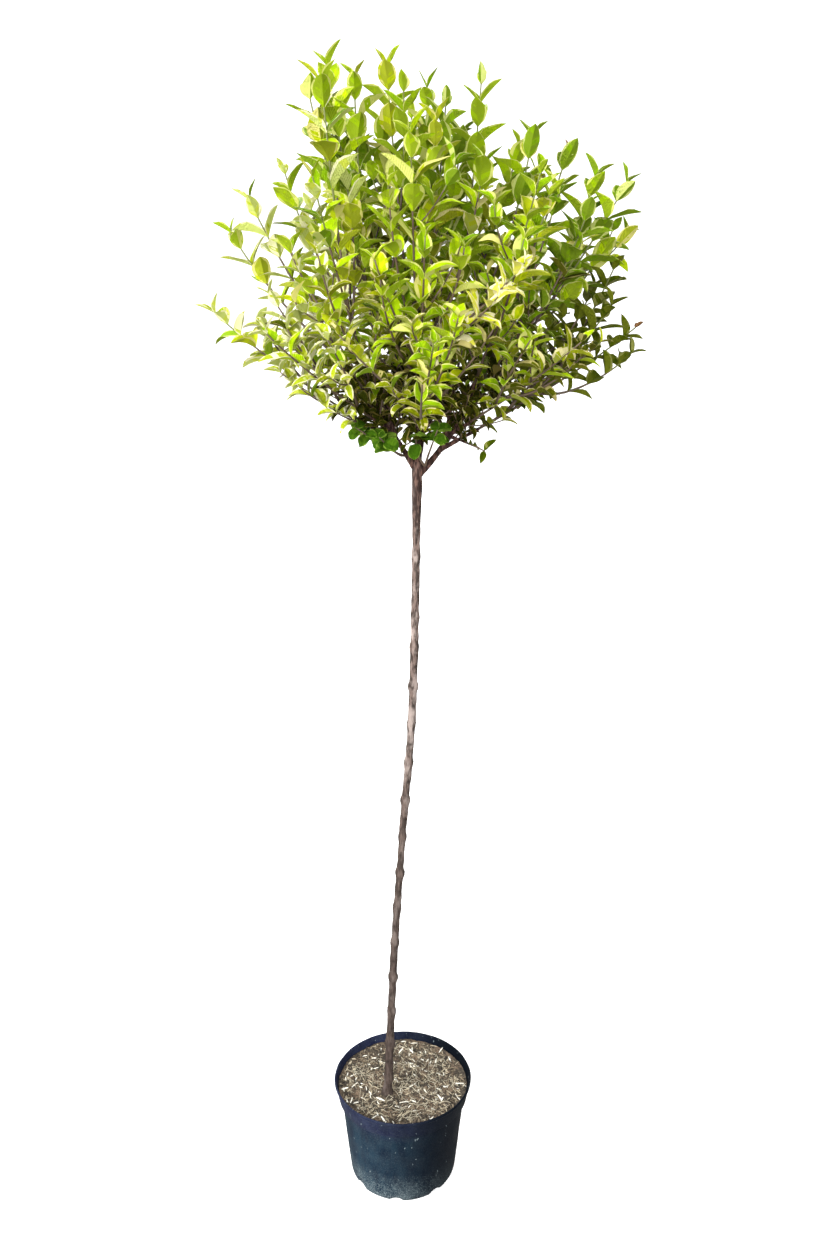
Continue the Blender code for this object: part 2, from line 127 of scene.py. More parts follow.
def new_mesh(name, points, *faces, weld=False):
    """An object from points (..., 3) and face arrays, each (m, corners). weld merges points that coincide."""
    mesh = bpy.data.meshes.new(name)
    mesh.vertices.add(points.size // 3)
    mesh.vertices.foreach_set("co", points.ravel().astype(np.float32))
    corners = np.concatenate([face.ravel() for face in faces])
    counts = np.concatenate([np.full(len(face), face.shape[1]) for face in faces])
    mesh.loops.add(len(corners))
    mesh.loops.foreach_set("vertex_index", corners.astype(np.int32))
    mesh.polygons.add(len(counts))
    mesh.polygons.foreach_set("loop_start", (np.cumsum(counts) - counts).astype(np.int32))
    mesh.update(calc_edges=True)
    if weld:
        work = bmesh.new()
        work.from_mesh(mesh)
        bmesh.ops.remove_doubles(work, verts=work.verts, dist=WELD_DISTANCE)
        bmesh.ops.recalc_face_normals(work, faces=work.faces)
        work.to_mesh(mesh)
        work.free()
    mesh.shade_smooth()
    made = bpy.data.objects.new(name, mesh)
    bpy.context.scene.collection.objects.link(made)
    return made


def fill(tree, made, values):
    """Gives a node's inputs their values, which are numbers or sockets to link from."""
    for socket, value in values.items():
        if isinstance(value, bpy.types.NodeSocket):
            tree.links.new(value, made.inputs[socket])
        else:
            made.inputs[socket].default_value = value
    return made


def node(tree, kind, values=None, **settings):
    """Adds a shader node with its own settings, and fills its inputs."""
    made = tree.nodes.new("ShaderNode" + kind)
    for setting, value in settings.items():
        setattr(made, setting, value)
    return fill(tree, made, values or {})


def new_material(name, colour, roughness, gloss=0.5):
    """A material with a plain colour, roughness and gloss. Returns it, its tree and its Principled shader."""
    made = bpy.data.materials.new(name)
    made.use_nodes = True
    plain = {"Base Color": (*colour, 1), "Roughness": roughness, "Specular IOR Level": gloss}
    return made, made.node_tree, fill(made.node_tree, made.node_tree.nodes["Principled BSDF"], plain)


def mixed(tree, share, first, second):
    """The colour at a share, a socket or a number, of the way from the first colour to the second."""
    first, second = ((*part, 1) if isinstance(part, tuple) else part for part in (first, second))
    return node(tree, "Mix", {0: share, 6: first, 7: second}, data_type="RGBA").outputs[2]


def swept_floor():
    """A disc and a wall, turned about the axis: height = wall height * smoothstep of the radius past the disc."""
    reach = np.concatenate([[0.0, 1.2, 2.4], np.linspace(FLOOR_RADIUS, WALL_RADIUS, WALL_ROWS)])
    share = np.clip((reach - FLOOR_RADIUS) / (WALL_RADIUS - FLOOR_RADIUS), 0, 1)
    rings = turned_surface(np.stack([reach, WALL_HEIGHT * share**2 * (3 - 2 * share)], -1), FLOOR_SIDES)
    return new_mesh("studio_floor", rings, ring_faces(len(reach), FLOOR_SIDES), weld=True)


def paper_white():
    """White paper as it is looked at, and pale grey as a source of light, so that little comes from below."""
    made, tree, shader = new_material("studio_paper", PAPER_SEEN, 0.9)
    looked_at = node(tree, "LightPath").outputs["Is Camera Ray"]
    colour = mixed(tree, looked_at, PAPER_LIT, PAPER_SEEN)
    glow = mixed(tree, looked_at, (0, 0, 0), PAPER_GLOW)
    fill(tree, shader, {"Base Color": colour, "Emission Color": glow, "Emission Strength": 1})
    return made


floor = swept_floor()
floor.data.materials.append(paper_white())

camera = bpy.data.objects.new("camera", bpy.data.cameras.new("camera"))
camera.location = CAMERA_PLACE
camera.rotation_euler = (math.radians(CAMERA_PITCH_DEG), 0, 0)
camera.data.lens = LENS_MM
bpy.context.scene.collection.objects.link(camera)
bpy.context.scene.camera = camera
bpy.context.scene.view_settings.view_transform = "Standard"

sky = bpy.data.worlds.new("studio_sky")
sky.use_nodes = True
sky_light = {"Color": (1, 1, 1, 1), "Strength": SKY_STRENGTH}
fill(sky.node_tree, sky.node_tree.nodes["Background"], sky_light)
bpy.context.scene.world = sky

for lamp_name, (place, size, watts) in LAMPS.items():
    lamp = bpy.data.objects.new("lamp_" + lamp_name, bpy.data.lights.new(lamp_name, "AREA"))
    lamp.data.size = size
    lamp.data.energy = watts
    lamp.location = place
    lamp.rotation_euler = (Vector(LAMP_AIM) - lamp.location).to_track_quat("-Z", "Y").to_euler()
    lamp.visible_camera = False
    bpy.context.scene.collection.objects.link(lamp)


# The pot: a blow-moulded nursery container of thin navy-black plastic, with a wide stiff collar, a rounded
# lip and eight drain notches that lift the edge of its base. It has stood outdoors: splashed dust greys its
# foot, and pale scuffs and specks mark its wall. Its right side is darkened by painted shade, and the dust
# is heavier on its left, where it is also a painted sheen.
POT_HEIGHT = 0.193
POT_WALL = 0.0022
LEDGE = 0.157
POT_PROFILE = [  # (radius, height, rounding) from the middle of the underside up to the rim, and down inside
    (0.0, 0.0012, 0),
    (0.0800, 0.0012, 0.001),
    (0.0830, 0.0, 0.001),
    (0.0950, 0.0, 0.006),
    (0.0999, 0.009, 0.006),
    (0.1150, LEDGE, 0.0012),
    (0.1203, LEDGE + 0.0018, 0.0015),
    (0.1211, LEDGE + 0.0050, 0.0015),
    (0.1263, POT_HEIGHT - 0.0062, 0.001),
    (0.1279, POT_HEIGHT - 0.0048, 0.001),
    (0.1282, POT_HEIGHT, 0.0012),
    (0.1250, POT_HEIGHT, 0.0010),
    (0.1240, POT_HEIGHT - 0.0050, 0.001),
    (0.1188, LEDGE + 0.0054, 0.001),
    (0.1128, LEDGE + 0.0024, 0.001),
    (0.0978, 0.0130, 0.004),
    (0.0900, POT_WALL + 0.0012, 0.002),
    (0.0, POT_WALL + 0.0012, 0),
]
POT_SIDES = 176
ROW_SPACING = 0.007
NOTCHES = 8
NOTCH_FIRST = math.radians(-96.4)
NOTCH_HALF_WIDTH = 0.12
NOTCH_RISE = 0.0065
NOTCH_HEIGHT = 0.020
NOTCH_FROM = 0.084
NOTCH_BLEND = 0.006
OVAL, THREE_SIDED = 0.0022, 0.0012
DENT_DEPTH, DENT_LENGTH = 0.00018, 0.045
DENTS_FROM = 0.05
RIPPLE_WAVES = 24
MASK_NUMBERS = ("Scale", "Stretch", "Detail", "From", "To")
WALL_TONES = (0.0035, 0.0100, 0.0225), (0.0100, 0.0260, 0.0430)
COLLAR_TONES = (0.006, 0.008, 0.026), (0.014, 0.018, 0.046)
SHADED_TONE = (0.0015, 0.003, 0.006)
# A bluish grey for dust, which is also a painted sheen on the pot's left
DUST_AND_SHEEN_TONE = (0.20, 0.25, 0.26)


def seeded(name):
    """A random source that is always the same for one name."""
    return np.random.default_rng(zlib.crc32(name.encode()))


def ripple(points, wavelength, name):
    """Smooth random relief of spread 1: the scaled sum of cosine waves of random direction, length and phase."""
    chance = seeded(name)
    ways = unit(chance.normal(size=(RIPPLE_WAVES, 3))) * chance.uniform(0.7, 1.4, (RIPPLE_WAVES, 1))
    phases = chance.uniform(0, 2 * np.pi, RIPPLE_WAVES)
    return np.cos(points @ (ways.T * 2 * np.pi / wavelength) + phases).sum(-1) / math.sqrt(RIPPLE_WAVES / 2)


def reaches(line):
    """The distance from a line's start to each of its points, along the line."""
    return np.concatenate([[0], np.cumsum(np.linalg.norm(np.diff(line, axis=0), axis=1))])


def at_places(places, known, rows):
    """The rows of numbers that go with some places, read between the known ones."""
    return np.stack([np.interp(places, known, column) for column in np.transpose(rows)], axis=-1)


def off_centre(values, period):
    """How far values lie from the nearest whole number of periods."""
    return (values + period / 2) % period - period / 2


def rounded_profile(corners):
    """A profile through corners, each rounded by a quadratic curve, with rows added on long runs."""
    corners = np.array(corners, float)
    share = np.linspace(0, 1, 5)[:, None]
    line = [corners[:1, :2]]
    for before, corner, after in zip(corners, corners[1:], corners[2:]):
        start, end = (corner[:2] + unit(other[:2] - corner[:2]) * corner[2] for other in (before, after))
        line.append((1 - share) ** 2 * start + 2 * share * (1 - share) * corner[:2] + share**2 * end)
    line = np.concatenate([*line, corners[-1:, :2]])
    reach = reaches(line)
    places = np.unique(np.round(np.concatenate([reach, np.arange(0, reach[-1], ROW_SPACING)]), 5))
    return at_places(places, reach, line)


def pot_surface():
    """The pot's profile turned round, a little out of true, with its foot lifted in eight smooth arches."""
    points, turn = turned_surface(rounded_profile(POT_PROFILE), POT_SIDES), turns_round(POT_SIDES)
    reach, height = np.linalg.norm(points[..., :2], axis=-1), points[..., 2]
    off = off_centre(turn - NOTCH_FIRST, 2 * np.pi / NOTCHES)
    arch = np.clip(1 - (off / NOTCH_HALF_WIDTH) ** 2, 0, 1) ** 0.7
    near_foot = np.clip((reach - NOTCH_FROM) / NOTCH_BLEND, 0, 1) * np.clip(1 - height / NOTCH_HEIGHT, 0, 1)
    lift = NOTCH_RISE * arch * near_foot
    true = 1 + OVAL * np.sin(2 * turn + 0.5) * height / POT_HEIGHT + THREE_SIDED * np.sin(3 * turn + 1.9)
    dents = DENT_DEPTH * ripple(points * (1, 1, 0.6), DENT_LENGTH, "pot dents")
    dents = np.where(reach > DENTS_FROM, dents, 0) / np.maximum(reach, DENTS_FROM)
    points[..., :2] *= (true + dents)[..., None]
    points[..., 2] += lift
    return points


def ramp(tree, value, start, end, low=0.0, high=1.0, smooth=False):
    """A mask that goes from low to high as a value goes from start to end, and stays level beyond them."""
    values = {"Value": value, "From Min": start, "From Max": end, "To Min": low, "To Max": high}
    course = "SMOOTHSTEP" if smooth else "LINEAR"
    return node(tree, "MapRange", values, interpolation_type=course).outputs["Result"]


def mask_group():
    """The shared mask: noise on the piece's own coordinates, stretched along Z and cut to soft-edged spots."""
    tree = bpy.data.node_groups.new("mottle_mask", "ShaderNodeTree")
    for label in MASK_NUMBERS:
        tree.interface.new_socket(label, in_out="INPUT", socket_type="NodeSocketFloat")
    tree.interface.new_socket("Mask", in_out="OUTPUT", socket_type="NodeSocketFloat")
    given = tree.nodes.new("NodeGroupInput").outputs
    place = node(tree, "TexCoord").outputs["Object"]
    squeeze = node(tree, "CombineXYZ", {"X": 1.0, "Y": 1.0, "Z": given["Stretch"]}).outputs[0]
    place = node(tree, "VectorMath", {0: place, 1: squeeze}, operation="MULTIPLY").outputs[0]
    values = {"Vector": place, "Scale": given["Scale"], "Detail": given["Detail"], "Roughness": 0.6}
    noise = node(tree, "TexNoise", values).outputs["Fac"]
    spots = ramp(tree, noise, given["From"], given["To"], smooth=True)
    fill(tree, tree.nodes.new("NodeGroupOutput"), {"Mask": spots})
    return tree


MASK = mask_group()


def mask(tree, scale, start, end, stretch=1.0, detail=4.0):
    """The shared mask, placed in one material with its own numbers."""
    values = dict(zip(MASK_NUMBERS, (scale, stretch, detail, start, end)))
    return node(tree, "Group", values, node_tree=MASK).outputs["Mask"]


def axes(tree):
    """The X, Y and Z of a point of the piece."""
    return node(tree, "SeparateXYZ", {0: node(tree, "TexCoord").outputs["Object"]}).outputs


def worked(tree, operation, first, second=0.0, clamped=False):
    """One sum on two sockets or numbers."""
    return node(tree, "Math", {0: first, 1: second}, operation=operation, use_clamp=clamped).outputs[0]


def bump(tree, height, strength, depth):
    """The normal of a surface whose height varies by up to a depth in metres."""
    return node(tree, "Bump", {"Height": height, "Strength": strength, "Distance": depth}).outputs["Normal"]


def pot_plastic():
    """Navy-black plastic: painted shade on the right; dust, partly a painted sheen, at the foot and left; pale
    specks on the wall.
    """
    made, tree, shader = new_material("pot_navy_plastic", WALL_TONES[0], 0.6, gloss=0.04)
    place = axes(tree)
    # left is 1 on the lit left side and 0 on the right, where painted shade falls
    left = ramp(tree, place["X"], 0.09, -0.09, smooth=True)
    low = ramp(tree, place["Z"], 0.066, 0.0, 0.08)
    # Dust gathers at the foot, and more on the left, where it is also a painted sheen
    dust_and_sheen = worked(tree, "MULTIPLY", low, worked(tree, "ADD", left, 0.25))
    haze, grit = mask(tree, 34, 0.30, 0.75, detail=8), mask(tree, 480, 0.48, 0.66, detail=3)
    haze = worked(tree, "MULTIPLY", haze, worked(tree, "MULTIPLY", dust_and_sheen, 0.42))
    grit = worked(tree, "MULTIPLY", grit, worked(tree, "MULTIPLY", dust_and_sheen, 0.75))
    specks = worked(tree, "MULTIPLY", mask(tree, 130, 0.69, 0.715, stretch=0.6, detail=3), 0.60)
    dust = worked(tree, "MAXIMUM", worked(tree, "ADD", haze, grit), specks, clamped=True)
    mottle = mask(tree, 60, 0.30, 0.70, stretch=0.4, detail=10)
    collar = ramp(tree, place["Z"], 0.140, 0.165)
    plastic = mixed(tree, collar, mixed(tree, mottle, *WALL_TONES), mixed(tree, mottle, *COLLAR_TONES))
    # Painted shade: towards the right side the plastic fades to a near-black tone
    plastic = mixed(tree, left, SHADED_TONE, plastic)
    fill(tree, shader, {
        "Base Color": mixed(tree, dust, plastic, DUST_AND_SHEEN_TONE),
        "Roughness": ramp(tree, dust, 0.0, 1.0, 0.52, 0.85),
        "Normal": bump(tree, mask(tree, 240, 0.2, 0.8), 0.25, 0.0006),
    })
    return made


pot_points = pot_surface()
pot = new_mesh("pot_shell", pot_points, ring_faces(len(pot_points), POT_SIDES), weld=True)
pot.data.materials.append(pot_plastic())
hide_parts("pot")
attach(pot, "root")


# The compost: brown peat and bark fines that have dried to a lumpy crust, strewn with straw-coloured slivers
# of bark, crumbs and long pale fibres. It fills the pot to about 18 mm below the rim.
COMPOST_TOP = 0.1752
COMPOST_RADIUS = 0.1209
FOOT_RADIUS, FOOT_HEIGHT = 0.1110, 0.150
COMPOST_SIDES = 300
COMPOST_RINGS = 110
LUMP_HEIGHT, LUMP_LENGTH = 0.0014, 0.030
CRUST_HEIGHT, CRUST_LENGTH = 0.0007, 0.006
DISH_FROM, DISH_WIDTH, DISH_RISE = 0.09, 0.03, 0.0040
# The hollow tone is near-black painted shade for the hollows between lumps
SHADED_HOLLOW_TONE, FINE_TONE = (0.012, 0.010, 0.007), (0.104, 0.084, 0.057)
DRY_TONE = (0.155, 0.108, 0.070)
SLIVERS = {  # name: (count, shortest, longest, narrowest, widest, colour)
    "compost_cream_chip": (105, 0.008, 0.019, 0.0016, 0.0034, (0.78, 0.76, 0.66)),
    "compost_pale_sliver": (330, 0.004, 0.015, 0.0010, 0.0024, (0.42, 0.36, 0.25)),
    "compost_tan_sliver": (560, 0.004, 0.014, 0.0010, 0.0028, (0.190, 0.147, 0.094)),
    "compost_dark_sliver": (620, 0.004, 0.014, 0.0012, 0.0032, (0.038, 0.028, 0.018)),
}
SLIVER_THICKNESS = (0.0004, 0.0010)
CRUMBS = {  # name: (count, colour)
    "compost_tan_crumb": (1300, (0.145, 0.114, 0.076)),
    "compost_dark_crumb": (2000, (0.034, 0.026, 0.017)),
}
CRUMB_SIZES = (0.0007, 0.0022)
FIBRE_COUNT = 240
FIBRE_ROWS = 9
FIBRE_LENGTHS = (0.010, 0.034)
FIBRE_RISES = (0.0005, 0.0035)
FIBRE_RADII = (0.00025, 0.0005)
FIBRE_TONE = (0.42, 0.38, 0.28)
SHARP_FROM_DEG = 40


def at_height(flat, height):
    """Level places (..., 2) with a height, a number or an array (...), as their third coordinate."""
    return np.concatenate([flat, np.broadcast_to(height, flat.shape[:-1])[..., None]], -1)


def level(turns):
    """Level unit vectors at some turns: (cos, sin)."""
    return np.stack([np.cos(turns), np.sin(turns)], -1)


def repeated(faces, count, size):
    """The faces of one shape of size points, numbered on for each of its count copies."""
    return (faces + np.arange(count)[:, None, None] * size).reshape(-1, faces.shape[-1])


def compost_height(places):
    """How high the compost stands at places (..., 2): broad lumps, a finer crust, and a slight dish."""
    flat = at_height(places, 0)
    lumps = LUMP_HEIGHT * ripple(flat, LUMP_LENGTH, "lumps") + CRUST_HEIGHT * ripple(flat, CRUST_LENGTH, "crust")
    edge = np.clip((np.linalg.norm(places, axis=-1) - DISH_FROM) / DISH_WIDTH, 0, 1)
    return COMPOST_TOP + lumps * (1 - 0.4 * edge) + DISH_RISE * edge


def scattered(name, count, clear=0.004):
    """Places (count, 2) spread evenly over the compost, clear of its edge."""
    chance = seeded(name)
    turn, out = chance.uniform(0, 2 * np.pi, count), np.sqrt(chance.uniform(0, 1, count))
    return level(turn) * ((COMPOST_RADIUS - clear) * out)[:, None]


def compost_body():
    """Rings from the rim to the middle at the compost's height, closed below by a foot ring and a middle point."""
    reach = COMPOST_RADIUS * np.linspace(1, 0, COMPOST_RINGS) ** 0.8
    flat = reach[:, None, None] * level(turns_round(COMPOST_SIDES))
    foot = at_height(flat[:1] * FOOT_RADIUS / reach[0], FOOT_HEIGHT)
    points = np.concatenate([foot * (0, 0, 1), foot, at_height(flat, compost_height(flat))])
    return new_mesh("compost_bed", points, ring_faces(len(points), COMPOST_SIDES), weld=True)


def slivers(name, count, shortest, longest, narrowest, widest):
    """Flat splinters: three four-cornered rings along a slightly bent line, the end ones narrow, as they fell."""
    chance = seeded(name)
    length = chance.uniform(shortest, longest, count)
    wide, thick = chance.uniform(narrowest, widest, count), chance.uniform(*SLIVER_THICKNESS, count)
    yaw, pitch = chance.uniform(0, 2 * np.pi, count), chance.normal(0, 0.22, count)
    bend = chance.normal(0, 0.10, count) * length
    along = np.stack([np.cos(yaw) * np.cos(pitch), np.sin(yaw) * np.cos(pitch), np.sin(pitch)], -1)
    across = unit(np.stack([-np.sin(yaw), np.cos(yaw), chance.normal(0, 0.35, count)], -1))
    up = np.cross(along, across)
    flat = scattered(name + " places", count)
    middle = at_height(flat, compost_height(flat) + chance.uniform(0.0002, 0.0016, count))
    points = []
    for share, narrow in ((-0.5, 0.45), (0.0, 1.0), (0.5, 0.35)):
        ring = middle + along * (share * length)[:, None] + up * (bend * (0.25 - share**2) * 2)[:, None]
        for side, rise in ((-1, -1), (1, -1), (1, 1), (-1, 1)):
            points.append(ring + across * (side * wide * narrow / 2)[:, None] + up * (rise * thick / 2)[:, None])
    quads = np.concatenate([ring_faces(3, 4), [[3, 2, 1, 0], [8, 9, 10, 11]]])
    return new_mesh(name, np.stack(points, 1), repeated(quads, count, len(points)))


def crumbs(name, count):
    """Small lumps: eight-sided stones of uneven size, half sunk."""
    chance = seeded(name)
    size = chance.uniform(*CRUMB_SIZES, (count, 1, 3)) * (1, 1, 0.7)
    poles = np.array([[1, 0, 0], [0, 1, 0], [-1, 0, 0], [0, -1, 0], [0, 0, 1], [0, 0, -1]], float)
    turn = chance.uniform(0, 2 * np.pi, count)[:, None]
    shape = poles * size * chance.uniform(0.7, 1.2, (count, 6, 1))
    x = shape[..., 0] * np.cos(turn) - shape[..., 1] * np.sin(turn)
    y = shape[..., 0] * np.sin(turn) + shape[..., 1] * np.cos(turn)
    flat = scattered(name + " places", count)
    middle = at_height(flat, compost_height(flat) + 0.0004)
    around = np.arange(4)
    after = (around + 1) % 4
    upper, lower = np.stack([around, after, np.full(4, 4)], -1), np.stack([after, around, np.full(4, 5)], -1)
    points = np.stack([x, y, shape[..., 2]], -1) + middle[:, None]
    return new_mesh(name, points, repeated(np.concatenate([upper, lower]), count, len(poles)))


def tubes(name, lines, radii, sides, relief=None):
    """Round limbs along lines (n, rows, 3): ring = middle + radius * (cos * across + sin * up), both ends shut.

    radii is (n, rows). relief, if given, takes the rings' points and turns and adds to the radius.
    """
    way = unit(np.gradient(lines, axis=1))
    least = np.abs(way.mean(axis=1)).argmin(axis=-1)
    across = unit(np.cross(way, np.eye(3)[least][:, None]))
    up = np.cross(way, across)
    turn = turns_round(sides)
    spokes = np.cos(turn)[:, None] * across[:, :, None] + np.sin(turn)[:, None] * up[:, :, None]
    reach = np.broadcast_to(radii[..., None], (*radii.shape, sides))
    if relief:
        reach = reach + relief(lines[:, :, None] + spokes * reach[..., None], turn)
    rings = lines[:, :, None] + spokes * reach[..., None]
    foot, tip = (np.repeat(end[:, None, None], sides, axis=2) for end in (lines[:, 0], lines[:, -1]))
    points = np.concatenate([foot, rings, tip], axis=1)
    rows = points.shape[1]
    return new_mesh(name, points, repeated(ring_faces(rows, sides), len(lines), rows * sides), weld=True)


def compost_fibres():
    """Long pale fibres: arcs that lie on the compost and rise from it in the middle."""
    chance, count = seeded("fibres"), FIBRE_COUNT
    length, yaw = chance.uniform(*FIBRE_LENGTHS, count), chance.uniform(0, 2 * np.pi, count)
    swerve, rise = chance.normal(0, 0.9, count), chance.uniform(*FIBRE_RISES, count)
    flat = scattered("fibre places", count, 0.018)
    share = np.linspace(-0.5, 0.5, FIBRE_ROWS)
    heading = yaw[:, None] + swerve[:, None] * share
    path = flat[:, None] + (length[:, None] * share)[..., None] * level(heading)
    height = compost_height(path) + 0.0006 + rise[:, None] * (1 - 4 * share**2)
    radii = np.broadcast_to(chance.uniform(*FIBRE_RADII, count)[:, None], (count, FIBRE_ROWS))
    return tubes("compost_fibre", at_height(path, height), radii, 4)


def compost_crust():
    """Brown crust: spots of painted shade for its hollows, paler dry patches and a gritty bump."""
    made, tree, shader = new_material("compost_crust", DRY_TONE, 0.95)
    # Painted shade: near-black spots stand for the shade in the crust's hollows
    fine = mixed(tree, mask(tree, 260, 0.35, 0.65), SHADED_HOLLOW_TONE, FINE_TONE)
    fill(tree, shader, {
        "Base Color": mixed(tree, mask(tree, 38, 0.45, 0.62), fine, DRY_TONE),
        "Normal": bump(tree, mask(tree, 420, 0.2, 0.8, detail=6), 0.9, 0.0015),
    })
    return made


def fleck(name, colour):
    """A plain dry tone for slivers, crumbs and fibres, with a fibrous bump."""
    made, tree, shader = new_material(name, colour, 0.85)
    fill(tree, shader, {"Normal": bump(tree, mask(tree, 700, 0.3, 0.7), 0.5, 0.0004)})
    return made


compost_bed = compost_body()
compost_bed.data.materials.append(compost_crust())
compost_pieces = [compost_bed]
strewn = [(slivers(name, *sizes), colour) for name, (*sizes, colour) in SLIVERS.items()]
strewn += [(crumbs(name, count), colour) for name, (count, colour) in CRUMBS.items()]
strewn.append((compost_fibres(), FIBRE_TONE))
for piece, colour in strewn:
    piece.data.materials.append(fleck(piece.name, colour))
    piece.data.set_sharp_from_angle(angle=math.radians(SHARP_FROM_DEG))
    compost_pieces.append(piece)
for piece in compost_pieces:
    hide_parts("compost")
    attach(piece, "root")


# The stem: one clear trunk, about 14 mm thick, that leans from its flared foot to the fork. Side shoots were
# rubbed off in opposite pairs as it grew, so its lower part is knobbly with ringed scars. The bark is thin,
# grey-brown and a little pink, with pale patches and fine cracks along it.
STEM_LINE = [
    (-0.0275, -0.029, 0.1753),
    (-0.0150, -0.022, 0.450),
    (0.0020, -0.016, 0.700),
    (0.0175, -0.011, 0.900),
    (0.0237, -0.006, 1.100),
    (0.0270, 0.000, 1.336),
]
STEM_GIRTH = (  # heights, and the stem's radius there
    (0.1753, 0.195, 0.30, 0.60, 1.05, 1.20, 1.29, 1.336),
    (0.0112, 0.0078, 0.0070, 0.0063, 0.0066, 0.0062, 0.0078, 0.0086),
)
STEM_FOOT, STEM_TOP = STEM_LINE[0][2], STEM_LINE[-1][2]
STEM_SUNK = 0.006
STEM_SIDES = 30
STEM_ROWS = 560
STEM_FLARE, FLARE_HEIGHT = 0.0016, 0.02
KNOT_FIRST, KNOT_LAST, KNOT_SPACING = 0.215, 1.04, 0.034
KNOT_PROUD = 0.0021
KNOT_BELOW, KNOT_ABOVE, KNOT_SPAN = 0.0085, 0.0045, 0.62
SCAR_HEIGHT, SCAR_SPAN = 0.0035, 0.40
HIGH_KNOTS = (1.085, 1.132, 1.178, 1.226, 1.270)
HIGH_KNOT_PROUD = 0.0006
STEM_TONES = (0.040, 0.029, 0.024), (0.150, 0.108, 0.092), (0.31, 0.252, 0.226)  # cracks, middle, patches
NECK_TONES = (0.020, 0.009, 0.007), (0.092, 0.048, 0.036)
STEM_BUMP = 0.0020


def cubic(a, b, slope_a, slope_b, t):
    """The points at shares t of the way along a cubic from a to b with the slopes given at its ends."""
    from_a = (2 * t**3 - 3 * t**2 + 1) * a + (t**3 - 2 * t**2 + t) * slope_a
    return from_a + (3 * t**2 - 2 * t**3) * b + (t**3 - t**2) * slope_b


def smooth_line(marks, count):
    """A curve of count points through marks: each stretch is a cubic whose slopes follow its neighbours."""
    marks = np.array(marks, float)
    slopes = np.gradient(marks, axis=0)
    places = np.linspace(0, len(marks) - 1, count)
    first = np.minimum(places.astype(int), len(marks) - 2)
    after = first + 1
    return cubic(marks[first], marks[after], slopes[first], slopes[after], (places - first)[:, None])


def stem_place(height):
    """The middle of the stem at a height."""
    line = smooth_line(STEM_LINE, 200)
    return at_places(height, line[:, 2], line)


def knot_table():
    """Each old leaf joint's height, the way it faces and how proud it stands, in the source's order of draws."""
    heights = np.arange(KNOT_FIRST, KNOT_LAST, KNOT_SPACING)
    draws = seeded("stem").random((len(heights), 2))
    facing = np.arange(len(heights)) % 2 * np.pi / 2 - 0.4 + 0.8 * draws[:, 0]
    proud = KNOT_PROUD * (0.5 + 0.6 * draws[:, 1])
    high = len(HIGH_KNOTS)
    heights = np.concatenate([heights, HIGH_KNOTS])
    facing = np.concatenate([facing, np.arange(high) % 2 * np.pi / 2 + 0.3])
    proud = np.concatenate([proud, np.full(high, HIGH_KNOT_PROUD)])
    return np.repeat(heights, 2), np.repeat(facing, 2) + np.tile([0, np.pi], len(heights)), np.repeat(proud, 2)


def stem_relief(points, turn):
    """Bark relief: knobs fall off as exp(-distance squared) round each joint, with a pit; cracks run along."""
    heights, facing, proud = knot_table()
    rise = points[0, :, 0, 2][:, None] - heights
    rise = rise / np.where(rise > 0, KNOT_ABOVE, KNOT_BELOW)
    near = rise[:, None] ** 2 + (off_centre(turn[:, None] - facing, 2 * np.pi) / KNOT_SPAN) ** 2
    knobs = (proud * 1.6 * (np.exp(-near) - 0.55 * np.exp(-near * 7))).sum(-1)
    foot = np.clip(1 - (points[0, :, :, 2] - STEM_FOOT) / FLARE_HEIGHT, 0, 1)
    flare = STEM_FLARE * foot * np.cos(3 * turn)
    cracks = 0.00022 * ripple(points[0] * (1, 1, 0.25), 0.0045, "stem cracks")
    swells = 0.00030 * ripple(points[0], 0.035, "stem swells")
    return (knobs + flare + cracks + swells)[None]


def bark(name, dark, middle, pale, bump_depth):
    """Thin bark: a middle tone with darker cracks drawn out along the wood, pale patches and dark joint scars.

    It is darker towards the stem's foot, and purplish from the neck below the fork up.
    """
    made, tree, shader = new_material(name, middle, 0.85, gloss=0.15)
    height = axes(tree)["Z"]
    cracks = mask(tree, 210, 0.45, 0.59, stretch=0.22, detail=6)
    colour = mixed(tree, mask(tree, 42, 0.50, 0.66, stretch=0.45), mixed(tree, cracks, dark, middle), pale)
    colour = mixed(tree, ramp(tree, height, 1.05, 0.50, high=0.72), colour, dark)
    colour = mixed(tree, ramp(tree, height, 1.17, 1.30, high=0.80), colour, mixed(tree, cracks, *NECK_TONES))
    scar = node(tree, "Attribute", attribute_name="scar").outputs["Fac"]
    relief = mask(tree, 330, 0.25, 0.75, stretch=0.3, detail=6)
    fill(tree, shader, {
        "Base Color": mixed(tree, scar, colour, tuple(0.45 * part for part in dark)),
        "Normal": bump(tree, relief, 0.7, bump_depth),
    })
    return made


def paint_scars(piece, amounts):
    """Keeps how scarred each point is, from 0 to 1, as the attribute that the bark reads."""
    piece.data.attributes.new("scar", "FLOAT", "POINT").data.foreach_set("value", amounts.astype(np.float32))


def places_of(items, label):
    """The place that each point or face of a mesh keeps under a label, as an array (n, 3)."""
    found = np.empty(len(items) * 3, np.float32)
    items.foreach_get(label, found)
    return found.reshape(-1, 3)


